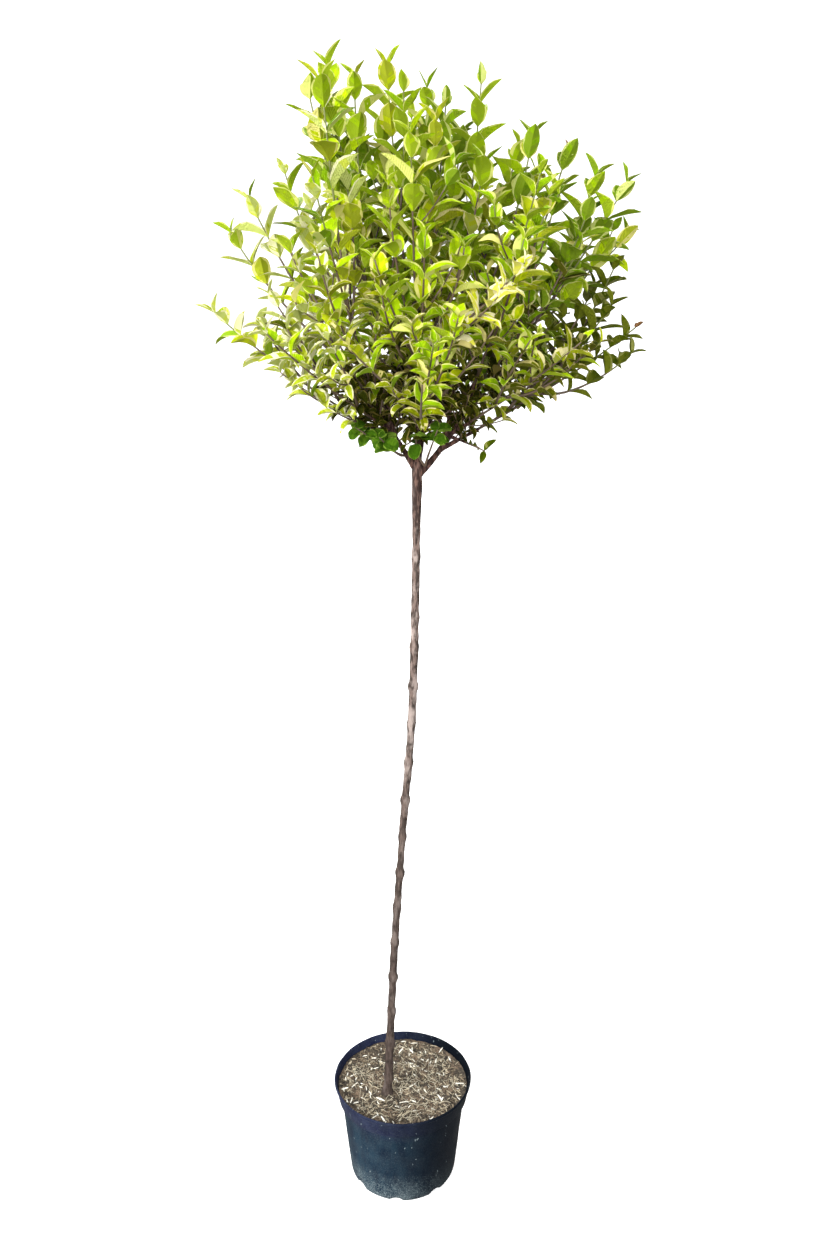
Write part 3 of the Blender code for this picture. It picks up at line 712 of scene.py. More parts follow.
stem_heights = np.linspace(STEM_FOOT - STEM_SUNK, STEM_TOP, STEM_ROWS)
stem_lines = stem_place(stem_heights)
stem_lines[:, 2] = stem_heights
stem_radii = np.interp(stem_heights, *STEM_GIRTH)
stem = tubes("stem_bark", stem_lines[None], stem_radii[None], STEM_SIDES, stem_relief)
stem_points = places_of(stem.data.vertices, "co")
knot_heights, knot_ways, _ = knot_table()
from_middle = stem_points - stem_place(stem_points[:, 2])
knot_off = off_centre(np.arctan2(from_middle[:, 1], from_middle[:, 0])[:, None] - knot_ways, 2 * np.pi)
knot_near = ((stem_points[:, 2:] - knot_heights) / SCAR_HEIGHT) ** 2 + (knot_off / SCAR_SPAN) ** 2
paint_scars(stem, np.exp(-knot_near).max(axis=1))
stem.data.materials.append(bark("stem_grey_bark", *STEM_TONES, STEM_BUMP))
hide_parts("stem")
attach(stem, "root")


# The limbs: boughs of dark purplish-brown wood that spring from the fork, and leafy shoots that carry on from
# them to their tips and branch by one rule. Each limb bends from its root towards the light. Shoots are brown
# at their foot and green where they are young.
FORK = np.array((0.027, 0.0, 1.326))
FORK_SPREAD = {"centre": 0, "left": 1.0, "right": 2.2, "rear": 1.5}  # 0 sets out straight up
ROOT_SPREAD = 1.2
TIP_SPREAD = 0.7
LONE_ROOT_SPREAD, LONE_TIP_SPREAD = 1.5, 0.6
CURVE_PULL = 0.85
TUFT_PULL = 0.35
LINE_STEPS = 60
BOUGH_SIDES = 14
BOUGH_ROWS = 56
BOUGH_TAPER = 0.62
CENTRE_FLARE, ROOT_FLARE, FLARE_REACH = 0.42, 0.25, 0.010
BOUGH_TONES = (0.018, 0.009, 0.006), (0.074, 0.037, 0.026), (0.140, 0.086, 0.064)
BOUGH_BUMP = 0.0008
SHOOT_BARKS = {"shoot_brown_bark": (0.080, 0.052, 0.030), "shoot_green_bark": (0.105, 0.120, 0.022)}
GREEN_FROM = 0.32
SHOOT_ROWS = 13
SHOOT_SIDES = 5
SPIRE_CUT = 1  # the steps by which the highest stalks end short of their tips, for the last leaf pair's room
SPIRE_HEIGHT = 500
TWIG_RADIUS = 0.0025
TWIG_TIP_RADIUS = 0.0011
FINE_RADIUS = 0.0013
FINE_ON_MAIN, FINE_ON_HIGH, FINE_ON_LEFT, FINE_ON_SIDE = 4, 2, 0, 1
FINE_HIGH_FROM = 480
FINE_LONGEST, SIDE_FINE_LONGEST = 0.150, 0.115
THIRD_TURN = 2.4
SPUR_GAP = 0.011
SPUR_CLEAR = 0.042
SPUR_LENGTHS = (0.035, 0.095)
PAIR_GAP = 0.044
TIP_PAIR_GAP = 0.023
SHOOT_SCALES = (1.08, 1.0, 0.80)  # of leaves and of the gaps between them, by a shoot's rank
LOW_SCALE, LOW_TIP = 0.80, 0.30
OWN_GAPS = {"hanging": 0.5, "basal_left": 0.32, "basal_right": 0.32}
BASAL_BARE = {"basal_left": 0.50, "basal_right": 0.62}  # the share of each low tuft's shoots without leaves


class Limb(NamedTuple):
    """One limb: bare wood from its parent, then a leafy shoot. tip is from the fork, in millimetres."""

    name: str
    parent: str
    along: float
    tip: tuple
    bare: float
    root_radius: float
    shoots: int = 2


LIMBS = [Limb(*row) for row in (
    ("centre", "stem", 0, (42, -50, 540), 0.24, 0.0053),
    ("left", "stem", 0.016, (-258, 0, 410), 0.26, 0.0050),
    ("right", "stem", 0.024, (238, 10, 505), 0.26, 0.0055),
    ("rear", "stem", 0.008, (60, 270, 430), 0.26, 0.0052),
    ("left_low", "left", 0.42, (-326, -20, 252), 0.16, 0.0036),
    ("left_spire", "left", 0.56, (-133, -30, 610), 0.18, 0.0042),
    ("left_front_low", "left", 0.64, (-220, -200, 210), 0.18, 0.0036),
    ("left_upper", "left", 0.76, (-211, 80, 462), 0.16, 0.0038),
    ("left_front", "left", 0.86, (-140, -190, 400), 0.16, 0.0036),
    ("right_low", "right", 0.42, (355, 10, 228), 0.20, 0.0040),
    ("right_spire", "right", 0.54, (97, 20, 590), 0.18, 0.0042),
    ("right_front_low", "right", 0.64, (240, -200, 200), 0.18, 0.0036),
    ("right_shoulder", "right", 0.74, (322, -10, 440), 0.18, 0.0040),
    ("right_front", "right", 0.87, (165, -190, 410), 0.16, 0.0036),
    ("front_low", "centre", 0.40, (20, -330, 180), 0.18, 0.0036),
    ("front", "centre", 0.56, (10, -270, 330), 0.18, 0.0038),
    ("front_top", "centre", 0.68, (-10, -150, 490), 0.18, 0.0038),
    ("tall_centre", "centre", 0.80, (-48, 20, 622), 0.18, 0.0040),
    ("rear_low", "rear", 0.36, (0, 330, 220), 0.18, 0.0036),
    ("rear_left", "rear", 0.46, (-120, 230, 430), 0.18, 0.0040),
    ("rear_left_low", "rear", 0.54, (-240, 200, 240), 0.18, 0.0036),
    ("rear_right", "rear", 0.62, (220, 200, 400), 0.18, 0.0040),
    ("rear_right_low", "rear", 0.72, (250, 210, 225), 0.18, 0.0036),
    ("rear_top", "rear", 0.80, (-10, 150, 575), 0.18, 0.0038),
    ("right_rear_top", "rear", 0.86, (172, 110, 535), 0.18, 0.0038),
    ("hanging", "right", 0.60, (118, -34, 22), 0.45, 0.0028, 0),
    ("basal_left", "left", 0.26, (-102, -45, 70), 0, 0.0022, 1),
    ("basal_right", "right", 0.15, (34, -52, 70), 0, 0.0022, 1),
)]

# Single shoots that stand out at the crown's edge, or that fill it, as pairs of a share of the way along the
# limb's own leafy shoot and a tip in millimetres from the fork.
LONE_SHOOTS = {
    "left_spire": [(0.25, (-93, -20, 585)), (0.35, (-160, -40, 556))],
    "left": [(0.20, (-290, 0, 365)), (0.02, (-95, -90, 230)), (0.0, (-60, -120, 205))],
    "left_front": [(0.10, (-190, -90, 330)), (0.35, (-128, -170, 541))],
    "left_low": [(0.06, (-178, -95, 128)), (0.12, (-222, -70, 162)), (0.02, (-128, -110, 94))],
    "right_shoulder": [(0.30, (274, 0, 458))],
    "right_low": [
        (0.30, (308, 0, 318)),
        (0.12, (255, -40, 250)),
        (0.20, (300, -60, 262)),
        (0.25, (290, 70, 300)),
        (0.08, (235, 10, 185)),
    ],
    "front": [(0.30, (142, -245, 285)), (0.20, (-60, -230, 300)), (0.24, (114, -255, 250))],
    "front_low": [(0.15, (110, -220, 215)), (0.20, (-110, -220, 200)), (0.02, (-40, -190, 130))],
    "centre": [
        (0.30, (14, -20, 558)),
        (0.02, (-60, -80, 250)),
        (0.05, (70, -90, 260)),
        (0.0, (-78, -100, 190)),
    ],
}
LONE_FROM = 10


def bent_line(start, heading, end, arrival, steps, firmness=CURVE_PULL):
    """A cubic from start to end that leaves along heading and arrives along arrival. Less firm is straighter."""
    pull = np.linalg.norm(end - start) * firmness
    return cubic(start, end, heading * pull, arrival * pull, np.linspace(0, 1, steps + 1)[:, None])


def place_on(line, share):
    """The point at a share of the way along a line, and the way the line runs there."""
    place = share * (len(line) - 1)
    first = min(int(place), len(line) - 2)
    step = line[first + 1] - line[first]
    return line[first] + step * (place - first), unit(step)


def sides_of(ways, turns):
    """Unit vectors square to ways (..., 3), turned round them by turns (...)."""
    ways, turns = np.asarray(ways, float), np.asarray(turns, float)[..., None]
    reference = np.where(np.abs(ways[..., 1:2]) > 0.9, (1.0, 0.0, 0.0), (0.0, -1.0, 0.0))
    across = unit(np.cross(ways, reference))
    return across * np.cos(turns) + np.cross(ways, across) * np.sin(turns)


def spread(chord, amount):
    """The chord's direction with its level part made longer or shorter."""
    return unit(chord * (amount, amount, 1))


def from_fork(place):
    """A place given in millimetres from the fork."""
    return FORK + np.array(place) / 1000


def limb_lines(limb):
    """The line of a limb's bare wood, and the line of its leafy shoot from there to the tip."""
    if limb.parent == "stem":
        start, spreading = stem_place(STEM_TOP - limb.along), FORK_SPREAD[limb.name]
    else:
        (start, way), spreading = place_on(bare_lines[limb.parent], limb.along), ROOT_SPREAD
    tip = from_fork(limb.tip)
    chord, firmness = tip - start, CURVE_PULL
    heading = spread(chord, spreading)
    if limb.bare == 0:
        heading, firmness = unit(chord - way * np.dot(way, chord)), TUFT_PULL
    whole = bent_line(start, heading, tip, spread(chord, TIP_SPREAD), LINE_STEPS, firmness)
    last = round(limb.bare * LINE_STEPS)
    return whole[: last + 1], whole[last:]


def side_shoots(limb, line):
    """The shoots that the solids have too: they leave the stalk on either side and bend up to run beside it."""
    chance = seeded(limb.name + " shoots")
    arrival = unit(unit(np.gradient(line, axis=0)[-1]) + (0, 0, 0.3))
    turn = chance.uniform(0, math.pi)
    made = []
    for number in range(limb.shoots):
        place = (number + chance.uniform(0, 0.6)) / limb.shoots
        share = 0.10 + 0.34 * place
        start, way = place_on(line, share)
        turn += math.pi * chance.uniform(0.75, 1.0)
        out = unit(way + sides_of(way, turn))
        length = reaches(line)[-1] * (1 - share) * chance.uniform(0.72, 0.92)
        end = start + unit(out * 0.55 + arrival * 0.75) * length
        made.append(bent_line(start, out, end, arrival, LINE_STEPS // 2))
    return made


def crown_floor(places):
    """The height of the crown's underside: it rises from the fork with the distance from the crown's axis."""
    out = np.linalg.norm(places[..., :2] - FORK[:2], axis=-1)
    return FORK[2] + 0.42 * out + 0.45 * out**2


def fine_shoots(name, line, count, longest):
    """Short shoots beyond those of the solids: they stand in turn round the parent and bend up beside it."""
    chance = seeded(name + " fine")
    arrival = unit(unit(np.gradient(line, axis=0)[-1]) + (0, 0, 0.25))
    turn = chance.uniform(0, 2 * math.pi)
    made = []
    for number in range(count):
        share = 0.03 + 0.60 * (number + chance.uniform(0, 0.8)) / count
        start, way = place_on(line, share)
        turn += THIRD_TURN
        out = unit(way * 0.8 + sides_of(way, turn))
        length = min(longest, reaches(line)[-1] * (1 - share)) * chance.uniform(0.55, 0.95)
        end = start + unit(out * 0.9 + arrival * 0.6) * length
        if end[2] > crown_floor(end):
            made.append(bent_line(start, out, end, arrival, LINE_STEPS // 2))
    return made


def spurs(name, line):
    """Very short leafy shoots along a bough's bare wood, from 42 mm above the fork: they point up and out."""
    chance = seeded(name + " spurs")
    turn = chance.uniform(0, 2 * math.pi)
    made = []
    for place in np.arange(SPUR_GAP, reaches(line)[-1], SPUR_GAP):
        start, way = place_on(line, place / reaches(line)[-1])
        turn += THIRD_TURN + chance.normal(0, 0.3)
        out = unit(way * 0.5 + sides_of(way, turn) + (0, 0, 0.25))
        end = start + unit(out + (0, 0, 0.35)) * chance.uniform(*SPUR_LENGTHS)
        if start[2] > FORK[2] + SPUR_CLEAR and end[2] > crown_floor(end):
            made.append(bent_line(start, out, end, unit(out + (0, 0, 0.8)), LINE_STEPS // 2))
    return made


def finer_shoots(limb, bare, leafy, sides):
    """The fine shoots of a limb's stalk and side shoots, and the spurs of its bare wood. A low tuft has none."""
    if limb.bare == 0:
        return []
    count = FINE_ON_LEFT if limb.name.startswith("left") else FINE_ON_MAIN
    if limb.tip[2] > FINE_HIGH_FROM:
        count = FINE_ON_HIGH
    finer = fine_shoots(limb.name, leafy, count, FINE_LONGEST)
    for number, line in enumerate(sides):
        finer += fine_shoots(f"{limb.name} {number}", line, FINE_ON_SIDE, SIDE_FINE_LONGEST)
    return finer + spurs(limb.name, bare)


def lone_shoot(stalk, share, tip):
    """A single shoot from a share of the way along a stalk to its tip."""
    start, end = place_on(stalk, share)[0], from_fork(tip)
    heading, arrival = spread(end - start, LONE_ROOT_SPREAD), spread(end - start, LONE_TIP_SPREAD)
    return bent_line(start, heading, end, arrival, LINE_STEPS)


def bough_girth(limb, line):
    """The radius along a bough: an even taper, with a flare at its root that fades as exp(-distance)."""
    flare = 1 + (CENTRE_FLARE if limb.along == 0 else ROOT_FLARE) * np.exp(-reaches(line) / FLARE_REACH)
    end, share = limb.root_radius * BOUGH_TAPER, np.linspace(0, 1, BOUGH_ROWS)
    return (limb.root_radius + (end - limb.root_radius) * share) * flare


def bough_relief(points, turn):
    """Young bark: fine cracks along the wood and slow swells."""
    return 0.00012 * ripple(points, 0.004, "bough cracks") + 0.00022 * ripple(points, 0.018, "bough swells")


class Shoot(NamedTuple):
    """One leafy shoot: its limb, its rank from 0 for the limb's own stalk, its line and its radius at the foot."""

    limb: str
    rank: int
    number: int
    line: np.ndarray
    radius: float


def pair_places(shoot):
    """How far along a shoot each of its leaf pairs stands: closer together towards the tip."""
    length = reaches(shoot.line)[-1]
    scale = SHOOT_SCALES[shoot.rank] * (LOW_SCALE if shoot.line[-1, 2] < FORK[2] + LOW_TIP else 1)
    scale = OWN_GAPS.get(shoot.limb, scale)
    places, place = [], 0.008
    while place < length - 0.004:
        places.append(place)
        place += (PAIR_GAP + (TIP_PAIR_GAP - PAIR_GAP) * (place / length) ** 1.5) * scale
    places = np.array(places)
    return places[places > BASAL_BARE.get(shoot.limb, 0) * length]


def wood_line(shoot):
    """A shoot's line up to its last leaf pair, as evenly spaced points."""
    places = np.linspace(0, pair_places(shoot)[-1] + 0.001, SHOOT_ROWS)
    return at_places(places, reaches(shoot.line), shoot.line)


def shoot_bark(name, colour):
    """Thin smooth bark with a fine relief drawn out along the shoot."""
    made, tree, shader = new_material(name, colour, 0.6)
    fill(tree, shader, {"Normal": bump(tree, mask(tree, 500, 0.3, 0.7, stretch=0.3), 0.4, 0.0004)})
    return made


bare_lines, boughs, bough_girths, shoots = {}, [], [], []
for limb in LIMBS:
    bare_lines[limb.name], leafy = limb_lines(limb)
    end_radius = limb.root_radius
    if limb.bare:
        end_radius *= BOUGH_TAPER
        steps = range(len(bare_lines[limb.name]))
        boughs.append(at_places(np.linspace(0, steps[-1], BOUGH_ROWS), steps, bare_lines[limb.name]))
        bough_girths.append(bough_girth(limb, boughs[-1]))
    stalk = leafy[:-SPIRE_CUT] if limb.tip[2] > SPIRE_HEIGHT else leafy
    sides = side_shoots(limb, leafy)
    lone = [lone_shoot(leafy, share, tip) for share, tip in LONE_SHOOTS.get(limb.name, ())]
    finer = finer_shoots(limb, bare_lines[limb.name], leafy, sides)
    for rank, first, lines, radius in (
        (0, 0, [stalk], end_radius),
        (1, 0, sides, TWIG_RADIUS),
        (1, LONE_FROM, lone, TWIG_RADIUS),
        (2, 0, finer, FINE_RADIUS),
    ):
        shoots += [Shoot(limb.name, rank, number, line, radius) for number, line in enumerate(lines, first)]

bough_wood = tubes("boughs_bark", np.array(boughs), np.array(bough_girths), BOUGH_SIDES, bough_relief)
bough_points = places_of(bough_wood.data.vertices, "co")
paint_scars(bough_wood, np.clip(ripple(bough_points, 0.012, "bough scars") - 1.1, 0, 1))
bough_wood.data.materials.append(bark("bough_brown_bark", *BOUGH_TONES, BOUGH_BUMP))
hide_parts(*sorted(name for name in frame["nodes"] if name.startswith("bough_")))
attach(bough_wood, "root")

foliage_nodes = sorted(name for name in frame["nodes"] if name.startswith("foliage_"))
shoot_lines = np.array([wood_line(shoot) for shoot in shoots])
shoot_radii = np.linspace([shoot.radius for shoot in shoots], TWIG_TIP_RADIUS, SHOOT_ROWS, axis=-1)
shoot_wood = tubes("shoots_bark", shoot_lines, shoot_radii, SHOOT_SIDES)
for name, colour in SHOOT_BARKS.items():
    shoot_wood.data.materials.append(shoot_bark(name, colour))
shoot_faces = shoot_wood.data.polygons
out_from_fork = np.linalg.norm((places_of(shoot_faces, "center") - FORK) * (1, 1, 0.75), axis=1)
shoot_faces.foreach_set("material_index", (out_from_fork > GREEN_FROM).astype(np.int32))
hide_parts(*foliage_nodes)
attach(shoot_wood, "root")


# The leaves: small oval privet leaves in opposite pairs, each pair square to the last. Each is folded along
# its midrib, arched, and green in the middle with a yellow or cream edge of uneven width. High leaves are
# long, lime and held up. Low ones are small, olive and curled down. Leaves inside the low crown and on the
# right take dark tones as painted shade, and more on the left and front take light tones as painted light.
LEAF_LENGTH = 0.057
LEAF_WIDTH = 0.029
LEAF_ROWS = np.array([0.06, 0.20, 0.36, 0.53, 0.70, 0.86])
LEAF_RING = 8
LEAF_THICKNESS = 0.0004
LEAF_BULGE = 0.10
LEAF_CURL = 0.14
VEIN_SLANT = 0.16
SIZE_ALONG = ((0, 0.25, 0.7, 0.88, 1), (0.85, 1.10, 1.05, 0.76, 0.43))  # shares of a shoot, and the size there
SIZE_UP = ((0.05, 0.22, 0.42), (0.55, 0.75, 1.0))  # heights above the fork, and the size there
TILT_ALONG = ((0, 0.8, 1), (50, 44, 34))  # shares of a shoot, and the degrees between leaf and shoot
ARCH_ALONG = ((0, 0.8, 1), (0.52, 0.38, 0.10))
HELD_UP_FROM = 0.40
BOX_ROOM = 0.018
FLOOR_ROOM = 0.030
HANGING_SIZE = 0.72
BASAL_SIZE, BASAL_WIDTH, BASAL_FOLD = 0.88, 1.55, 0.4
BASAL_LIGHT = np.array((-0.3, -0.75, 0.6))
LEAF_LAYERS = {"middle": 0.42, "blotch": 0.45, "edge": 0.48, "under": 0.6}  # part of a leaf: its roughness
LEAF_TONES = {  # name: (a colour in thousandths for each part, the green's share of half a blade, bluntness)
    "lime": ((215, 365, 3), (285, 430, 4), (590, 620, 160), (240, 335, 12), 0.79, 0.0),
    "fresh": ((370, 560, 3), (430, 590, 5), (650, 680, 170), (330, 440, 18), 0.80, 0.0),
    "golden": ((370, 460, 3), (450, 520, 6), (690, 650, 190), (340, 385, 20), 0.74, 0.1),
    "green": ((140, 265, 3), (190, 330, 4), (500, 550, 160), (170, 260, 12), 0.80, 0.1),
    "olive": ((205, 240, 2), (265, 300, 3), (620, 560, 220), (220, 245, 12), 0.79, 0.2),
    "cream": ((230, 280, 3), (310, 350, 10), (760, 690, 340), (300, 340, 50), 0.73, 0.2),
    "pale": ((360, 430, 14), (490, 540, 60), (840, 820, 480), (480, 540, 140), 0.70, 0.1),
    "shade": ((50, 66, 1), (85, 100, 2), (400, 350, 120), (100, 105, 8), 0.82, 0.2),
    # The deep tone is painted shade for the shoots low on the right and hanging below the crown
    "deep": ((47, 74, 1), (75, 102, 2), (200, 210, 50), (110, 130, 8), 0.88, 0.2),
    # The core tone is painted shade: nearly black, for leaves inside the low crown
    "core": ((22, 27, 1), (36, 41, 1), (160, 130, 30), (35, 36, 1), 0.86, 0.2),
    "bright": ((620, 680, 15), (740, 720, 80), (880, 820, 480), (680, 650, 120), 0.50, 0.4),
    "basal": ((34, 88, 3), (56, 125, 5), (140, 230, 25), (80, 140, 12), 0.88, 1.0),
    "bronze": ((160, 70, 25), (240, 120, 40), (380, 190, 80), (260, 140, 60), 0.70, 0.1),
}
TONE_NAMES = list(LEAF_TONES)
TONE_HEIGHTS = (0.08, 0.24, 0.42)
TONE_ODDS = {  # the odds of each tone at those heights above the fork
    "lime": (0.10, 0.18, 0.50),
    "fresh": (0.08, 0.40, 0.10),
    "golden": (0.12, 0.26, 0.16),
    "green": (0.02, 0.10, 0.24),
    "olive": (0.26, 0.07, 0.00),
    "cream": (0.22, 0.08, 0.00),
    "shade": (0.46, 0.03, 0.00),
}
SHARED_TONE = 0.55
OWN_TONES = {  # limb: a tone, and the shoots, as (rank, number), whose leaves are all of it
    # The deep shoots of right_low are painted shade
    "right_low": ("deep", ((0, 0), (1, 0), (1, 1), (1, 10), (1, 13), (1, 14))),
    "front": ("bright", ((1, 10), (1, 12))),
}
# Painted light: the big pale and fresh shares of the left and front limbs. Painted shade: green and deep on the
# right.
SIDE_TONES = {  # limb: the tone that a share of its leaves take, and that share
    "left_low": ("pale", 0.85),
    "left_front_low": ("pale", 0.75),
    "left": ("pale", 0.60),
    "left_upper": ("pale", 0.50),
    "left_front": ("pale", 0.30),
    "front": ("fresh", 0.20),
    "front_top": ("fresh", 0.55),
    "right": ("green", 0.40),
    "right_spire": ("green", 0.30),
    "right_shoulder": ("green", 0.50),
    "rear_right": ("green", 0.50),
    "rear_right_low": ("deep", 0.80),
    "right_low": ("deep", 0.90),
    "hanging": ("deep", 0.90),
}
BRONZE_TIPS = ("right", "right_low")
BRONZE_FROM = 0.94
BRONZE_SIZE = 0.6
CROWN_GIRTH = ((0, 0.10, 0.15), (0.06, 0.20, 0.26))  # heights above the fork, and the crown's reach there
# The inner share of the low crown, and the odds there of the core tone's painted shade
CORE_SHARE, CORE_ODDS = 0.62, 0.85
CREASE_DEG = 28
UP = np.array((0, 0, 1))


class Leaves(NamedTuple):
    """Many leaves as arrays: where each starts, the way it leaves, its upper side, its size and its bend."""

    root: np.ndarray
    way: np.ndarray
    up: np.ndarray
    length: np.ndarray
    width: np.ndarray
    arch: np.ndarray
    fold: np.ndarray
    tone: np.ndarray

    def only(self, chosen):
        """The leaves that are chosen."""
        return Leaves(*(column[chosen] for column in self))


def tones_at(place, share, shoot, chance):
    """A tone for each leaf: most leaves of one shoot share it, and the odds change with height above the fork.

    Low down, leaves that grow within a share of the crown's reach are nearly black, as painted shade. Some
    limbs give a share of their leaves a tone of their own: painted light on the left and front, painted shade on
    the right.
    """
    count, tone_of = len(place), TONE_NAMES.index
    height, out = place[:, 2] - FORK[2], np.linalg.norm(place[:, :2] - FORK[:2], axis=1)
    odds = np.array([np.interp(height, TONE_HEIGHTS, TONE_ODDS.get(name, (0, 0, 0))) for name in TONE_NAMES])
    odds = np.cumsum(odds / odds.sum(0), axis=0)
    own, each = chance.uniform(), chance.uniform(size=count)
    draw = np.where(chance.uniform(size=count) < SHARED_TONE, own, each)
    tone = (draw > odds).sum(0)
    # Side tones: painted light on the left and front limbs, painted shade on the right
    side_tone, side_share = SIDE_TONES.get(shoot.limb, ("lime", 0))
    tone = np.where(chance.uniform(size=count) < side_share, tone_of(side_tone), tone)
    # Painted shade: most leaves inside the low crown take the nearly black core tone
    inner = (height < CROWN_GIRTH[0][-1]) & (out < CORE_SHARE * np.interp(height, *CROWN_GIRTH))
    tone = np.where(inner & (chance.uniform(size=count) < CORE_ODDS), tone_of("core"), tone)
    own_tone, own_shoots = OWN_TONES.get(shoot.limb, ("lime", ()))
    if shoot.limb in BASAL_BARE:
        tone[:] = tone_of("basal")
    if (shoot.rank, shoot.number) in own_shoots:
        tone[:] = tone_of(own_tone)
    if shoot.limb in BRONZE_TIPS and shoot.rank == 0:
        tone = np.where(share > BRONZE_FROM, tone_of("bronze"), tone)
    return tone


def leaves_of(shoot):
    """The leaf pairs of one shoot. Size, tilt and arch change with the place along it and the height."""
    chance = seeded(f"{shoot.limb} {shoot.rank} {shoot.number} leaves")
    reach, places, basal = reaches(shoot.line), pair_places(shoot), shoot.limb in BASAL_BARE
    share = np.repeat(places / reach[-1], 2)
    count = len(share)
    point = np.repeat(at_places(places, reach, shoot.line), 2, axis=0)
    along = unit(np.repeat(at_places(places, reach, np.gradient(shoot.line, axis=0)), 2, axis=0))
    from_tip = np.repeat(np.arange(len(places))[::-1], 2)
    turns = chance.uniform(-0.35, 0.35) + (from_tip + chance.choice([0, 0, 1])) * np.pi / 2
    turns = turns + np.tile([0, np.pi], len(places)) + chance.normal(0, 0.12, count)

    height = point[:, 2] - FORK[2]
    rise = np.clip(height / HELD_UP_FROM, 0, 1)
    droop = 1 - rise
    outer = height + 0.5 * np.clip(np.abs(point[:, 0] - FORK[0]) - 0.12, 0, 1)
    size = (BASAL_SIZE if basal else SHOOT_SCALES[shoot.rank]) * np.interp(share, *SIZE_ALONG)
    size = size * np.interp(outer, *SIZE_UP) * chance.uniform(0.85, 1.12, count)
    if shoot.limb == "hanging":
        size = size * HANGING_SIZE
    if shoot.limb in BRONZE_TIPS:
        size = size * np.where(share > BRONZE_FROM, BRONZE_SIZE, 1)

    tilt = np.interp(share, *TILT_ALONG) + droop * (30 if basal else 14)
    tilt = np.radians(tilt) + chance.normal(0, 0.10, count)
    way = along * np.cos(tilt)[:, None] + sides_of(along, turns) * np.sin(tilt)[:, None]
    way = unit(way + UP * (0.10 + 0.55 * droop)[:, None])
    light = along + UP * (0.25 + 1.9 * droop)[:, None]
    if basal:
        light = unit(BASAL_LIGHT + chance.normal(0, 0.22, (count, 3)))
        way = unit(way - light * (light * way).sum(-1, keepdims=True))
    up = unit(light - way * (light * way).sum(-1, keepdims=True))
    roll = chance.normal(0, 0.18, count)[:, None]
    up = up * np.cos(roll) + np.cross(way, up) * np.sin(roll)

    length = LEAF_LENGTH * size * chance.uniform(0.90, 1.10, count)
    broad = BASAL_WIDTH if basal else 0.92 - 0.20 * (share > 0.9) + 0.08 * rise
    width = LEAF_WIDTH * size * chance.uniform(0.85, 1.15, count) * broad
    arch = np.interp(share, *ARCH_ALONG) + droop * 0.50 + chance.normal(0, 0.15, count)
    fold = (chance.uniform(0.30, 0.75, count) + 0.15 * droop) * (BASAL_FOLD if basal else 1)
    tone = tones_at(point, share, shoot, chance)
    return Leaves(point - way * 0.001, way, up, length, width, arch, fold, tone)


def blade_points(leaves, chance):
    """Points (n, 50, 3) and pattern places (n, 50, 2) of leaves.

    A point has a share of the way from foot to tip and a v across, from -1 to 1. Its row's share runs ahead by
    slant * |v|, as side veins do. The midrib is an arc of angle arch. The point lies at half width * v beside it,
    where the half width follows share^a * (1 - share)^b, and is raised by fold * |v| and a bulge. Each row has
    the left edge, the left end of the green, the midrib, the right end of the green and the right edge, and then
    the inner three again a leaf's thickness below. The first and last points are the leaf's foot and tip.
    """
    count, rows = len(leaves.length), LEAF_ROWS[:, None]
    green, blunt = np.array([LEAF_TONES[tone][4:] for tone in TONE_NAMES])[leaves.tone].T
    green = green[:, None] + chance.normal(0, 0.09, (count, 2))
    beat, phase = chance.uniform(0.8, 2.4, (2, count, 1)), chance.uniform(0, 2 * np.pi, (2, count, 1))
    swing = chance.uniform(0.04, 0.20, (2, count, 1))
    waves = swing * np.sin(2 * np.pi * beat * LEAF_ROWS + phase)
    left, right = (np.clip(green[:, side, None] + waves[side], 0.14, 0.94) for side in (0, 1))
    one, zero = np.ones_like(left), np.zeros_like(left)
    v = np.stack([-one, -left, zero, right, one, right, zero, -left], -1)
    size = np.abs(v)
    share = (rows + VEIN_SLANT * size * (1 - rows)).reshape(count, -1)
    share = np.pad(share, ((0, 0), (1, 1)), constant_values=((0, 0), (0, 1)))

    arch, along = np.maximum(leaves.arch, 0.05)[:, None, None], share[..., None]
    way, up, length = (part.reshape(count, 1, -1) for part in (leaves.way, leaves.up, leaves.length))
    middle = leaves.root[:, None] + (way * np.sin(arch * along) - up * (1 - np.cos(arch * along))) / arch * length
    normal = up * np.cos(arch * along) + way * np.sin(arch * along)

    blunt = np.clip(blunt + chance.normal(0, 0.15, count), 0, 1)[:, None]
    near, far = 0.85 - 0.25 * blunt, 1.12 - 0.54 * blunt
    fullest = near / (near + far)
    half = (share / fullest) ** near * ((1 - share) / (1 - fullest)) ** far * leaves.width[:, None] / 2
    v, size = (np.pad(part.reshape(count, -1), ((0, 0), (1, 1))) for part in (v, size))
    curl = LEAF_CURL * np.sin(2 * np.pi * (1.3 * share + phase[0])) * size**2
    raised = half * (leaves.fold[:, None] * size + LEAF_BULGE * 4 * size * (1 - size) + curl)
    below = np.pad(np.tile(np.arange(LEAF_RING) > 4, len(LEAF_ROWS)), 1)
    raised = raised - LEAF_THICKNESS * below
    points = middle + np.cross(leaves.way, leaves.up)[:, None] * (half * v)[..., None] + normal * raised[..., None]
    return points, np.stack([share, v], -1)


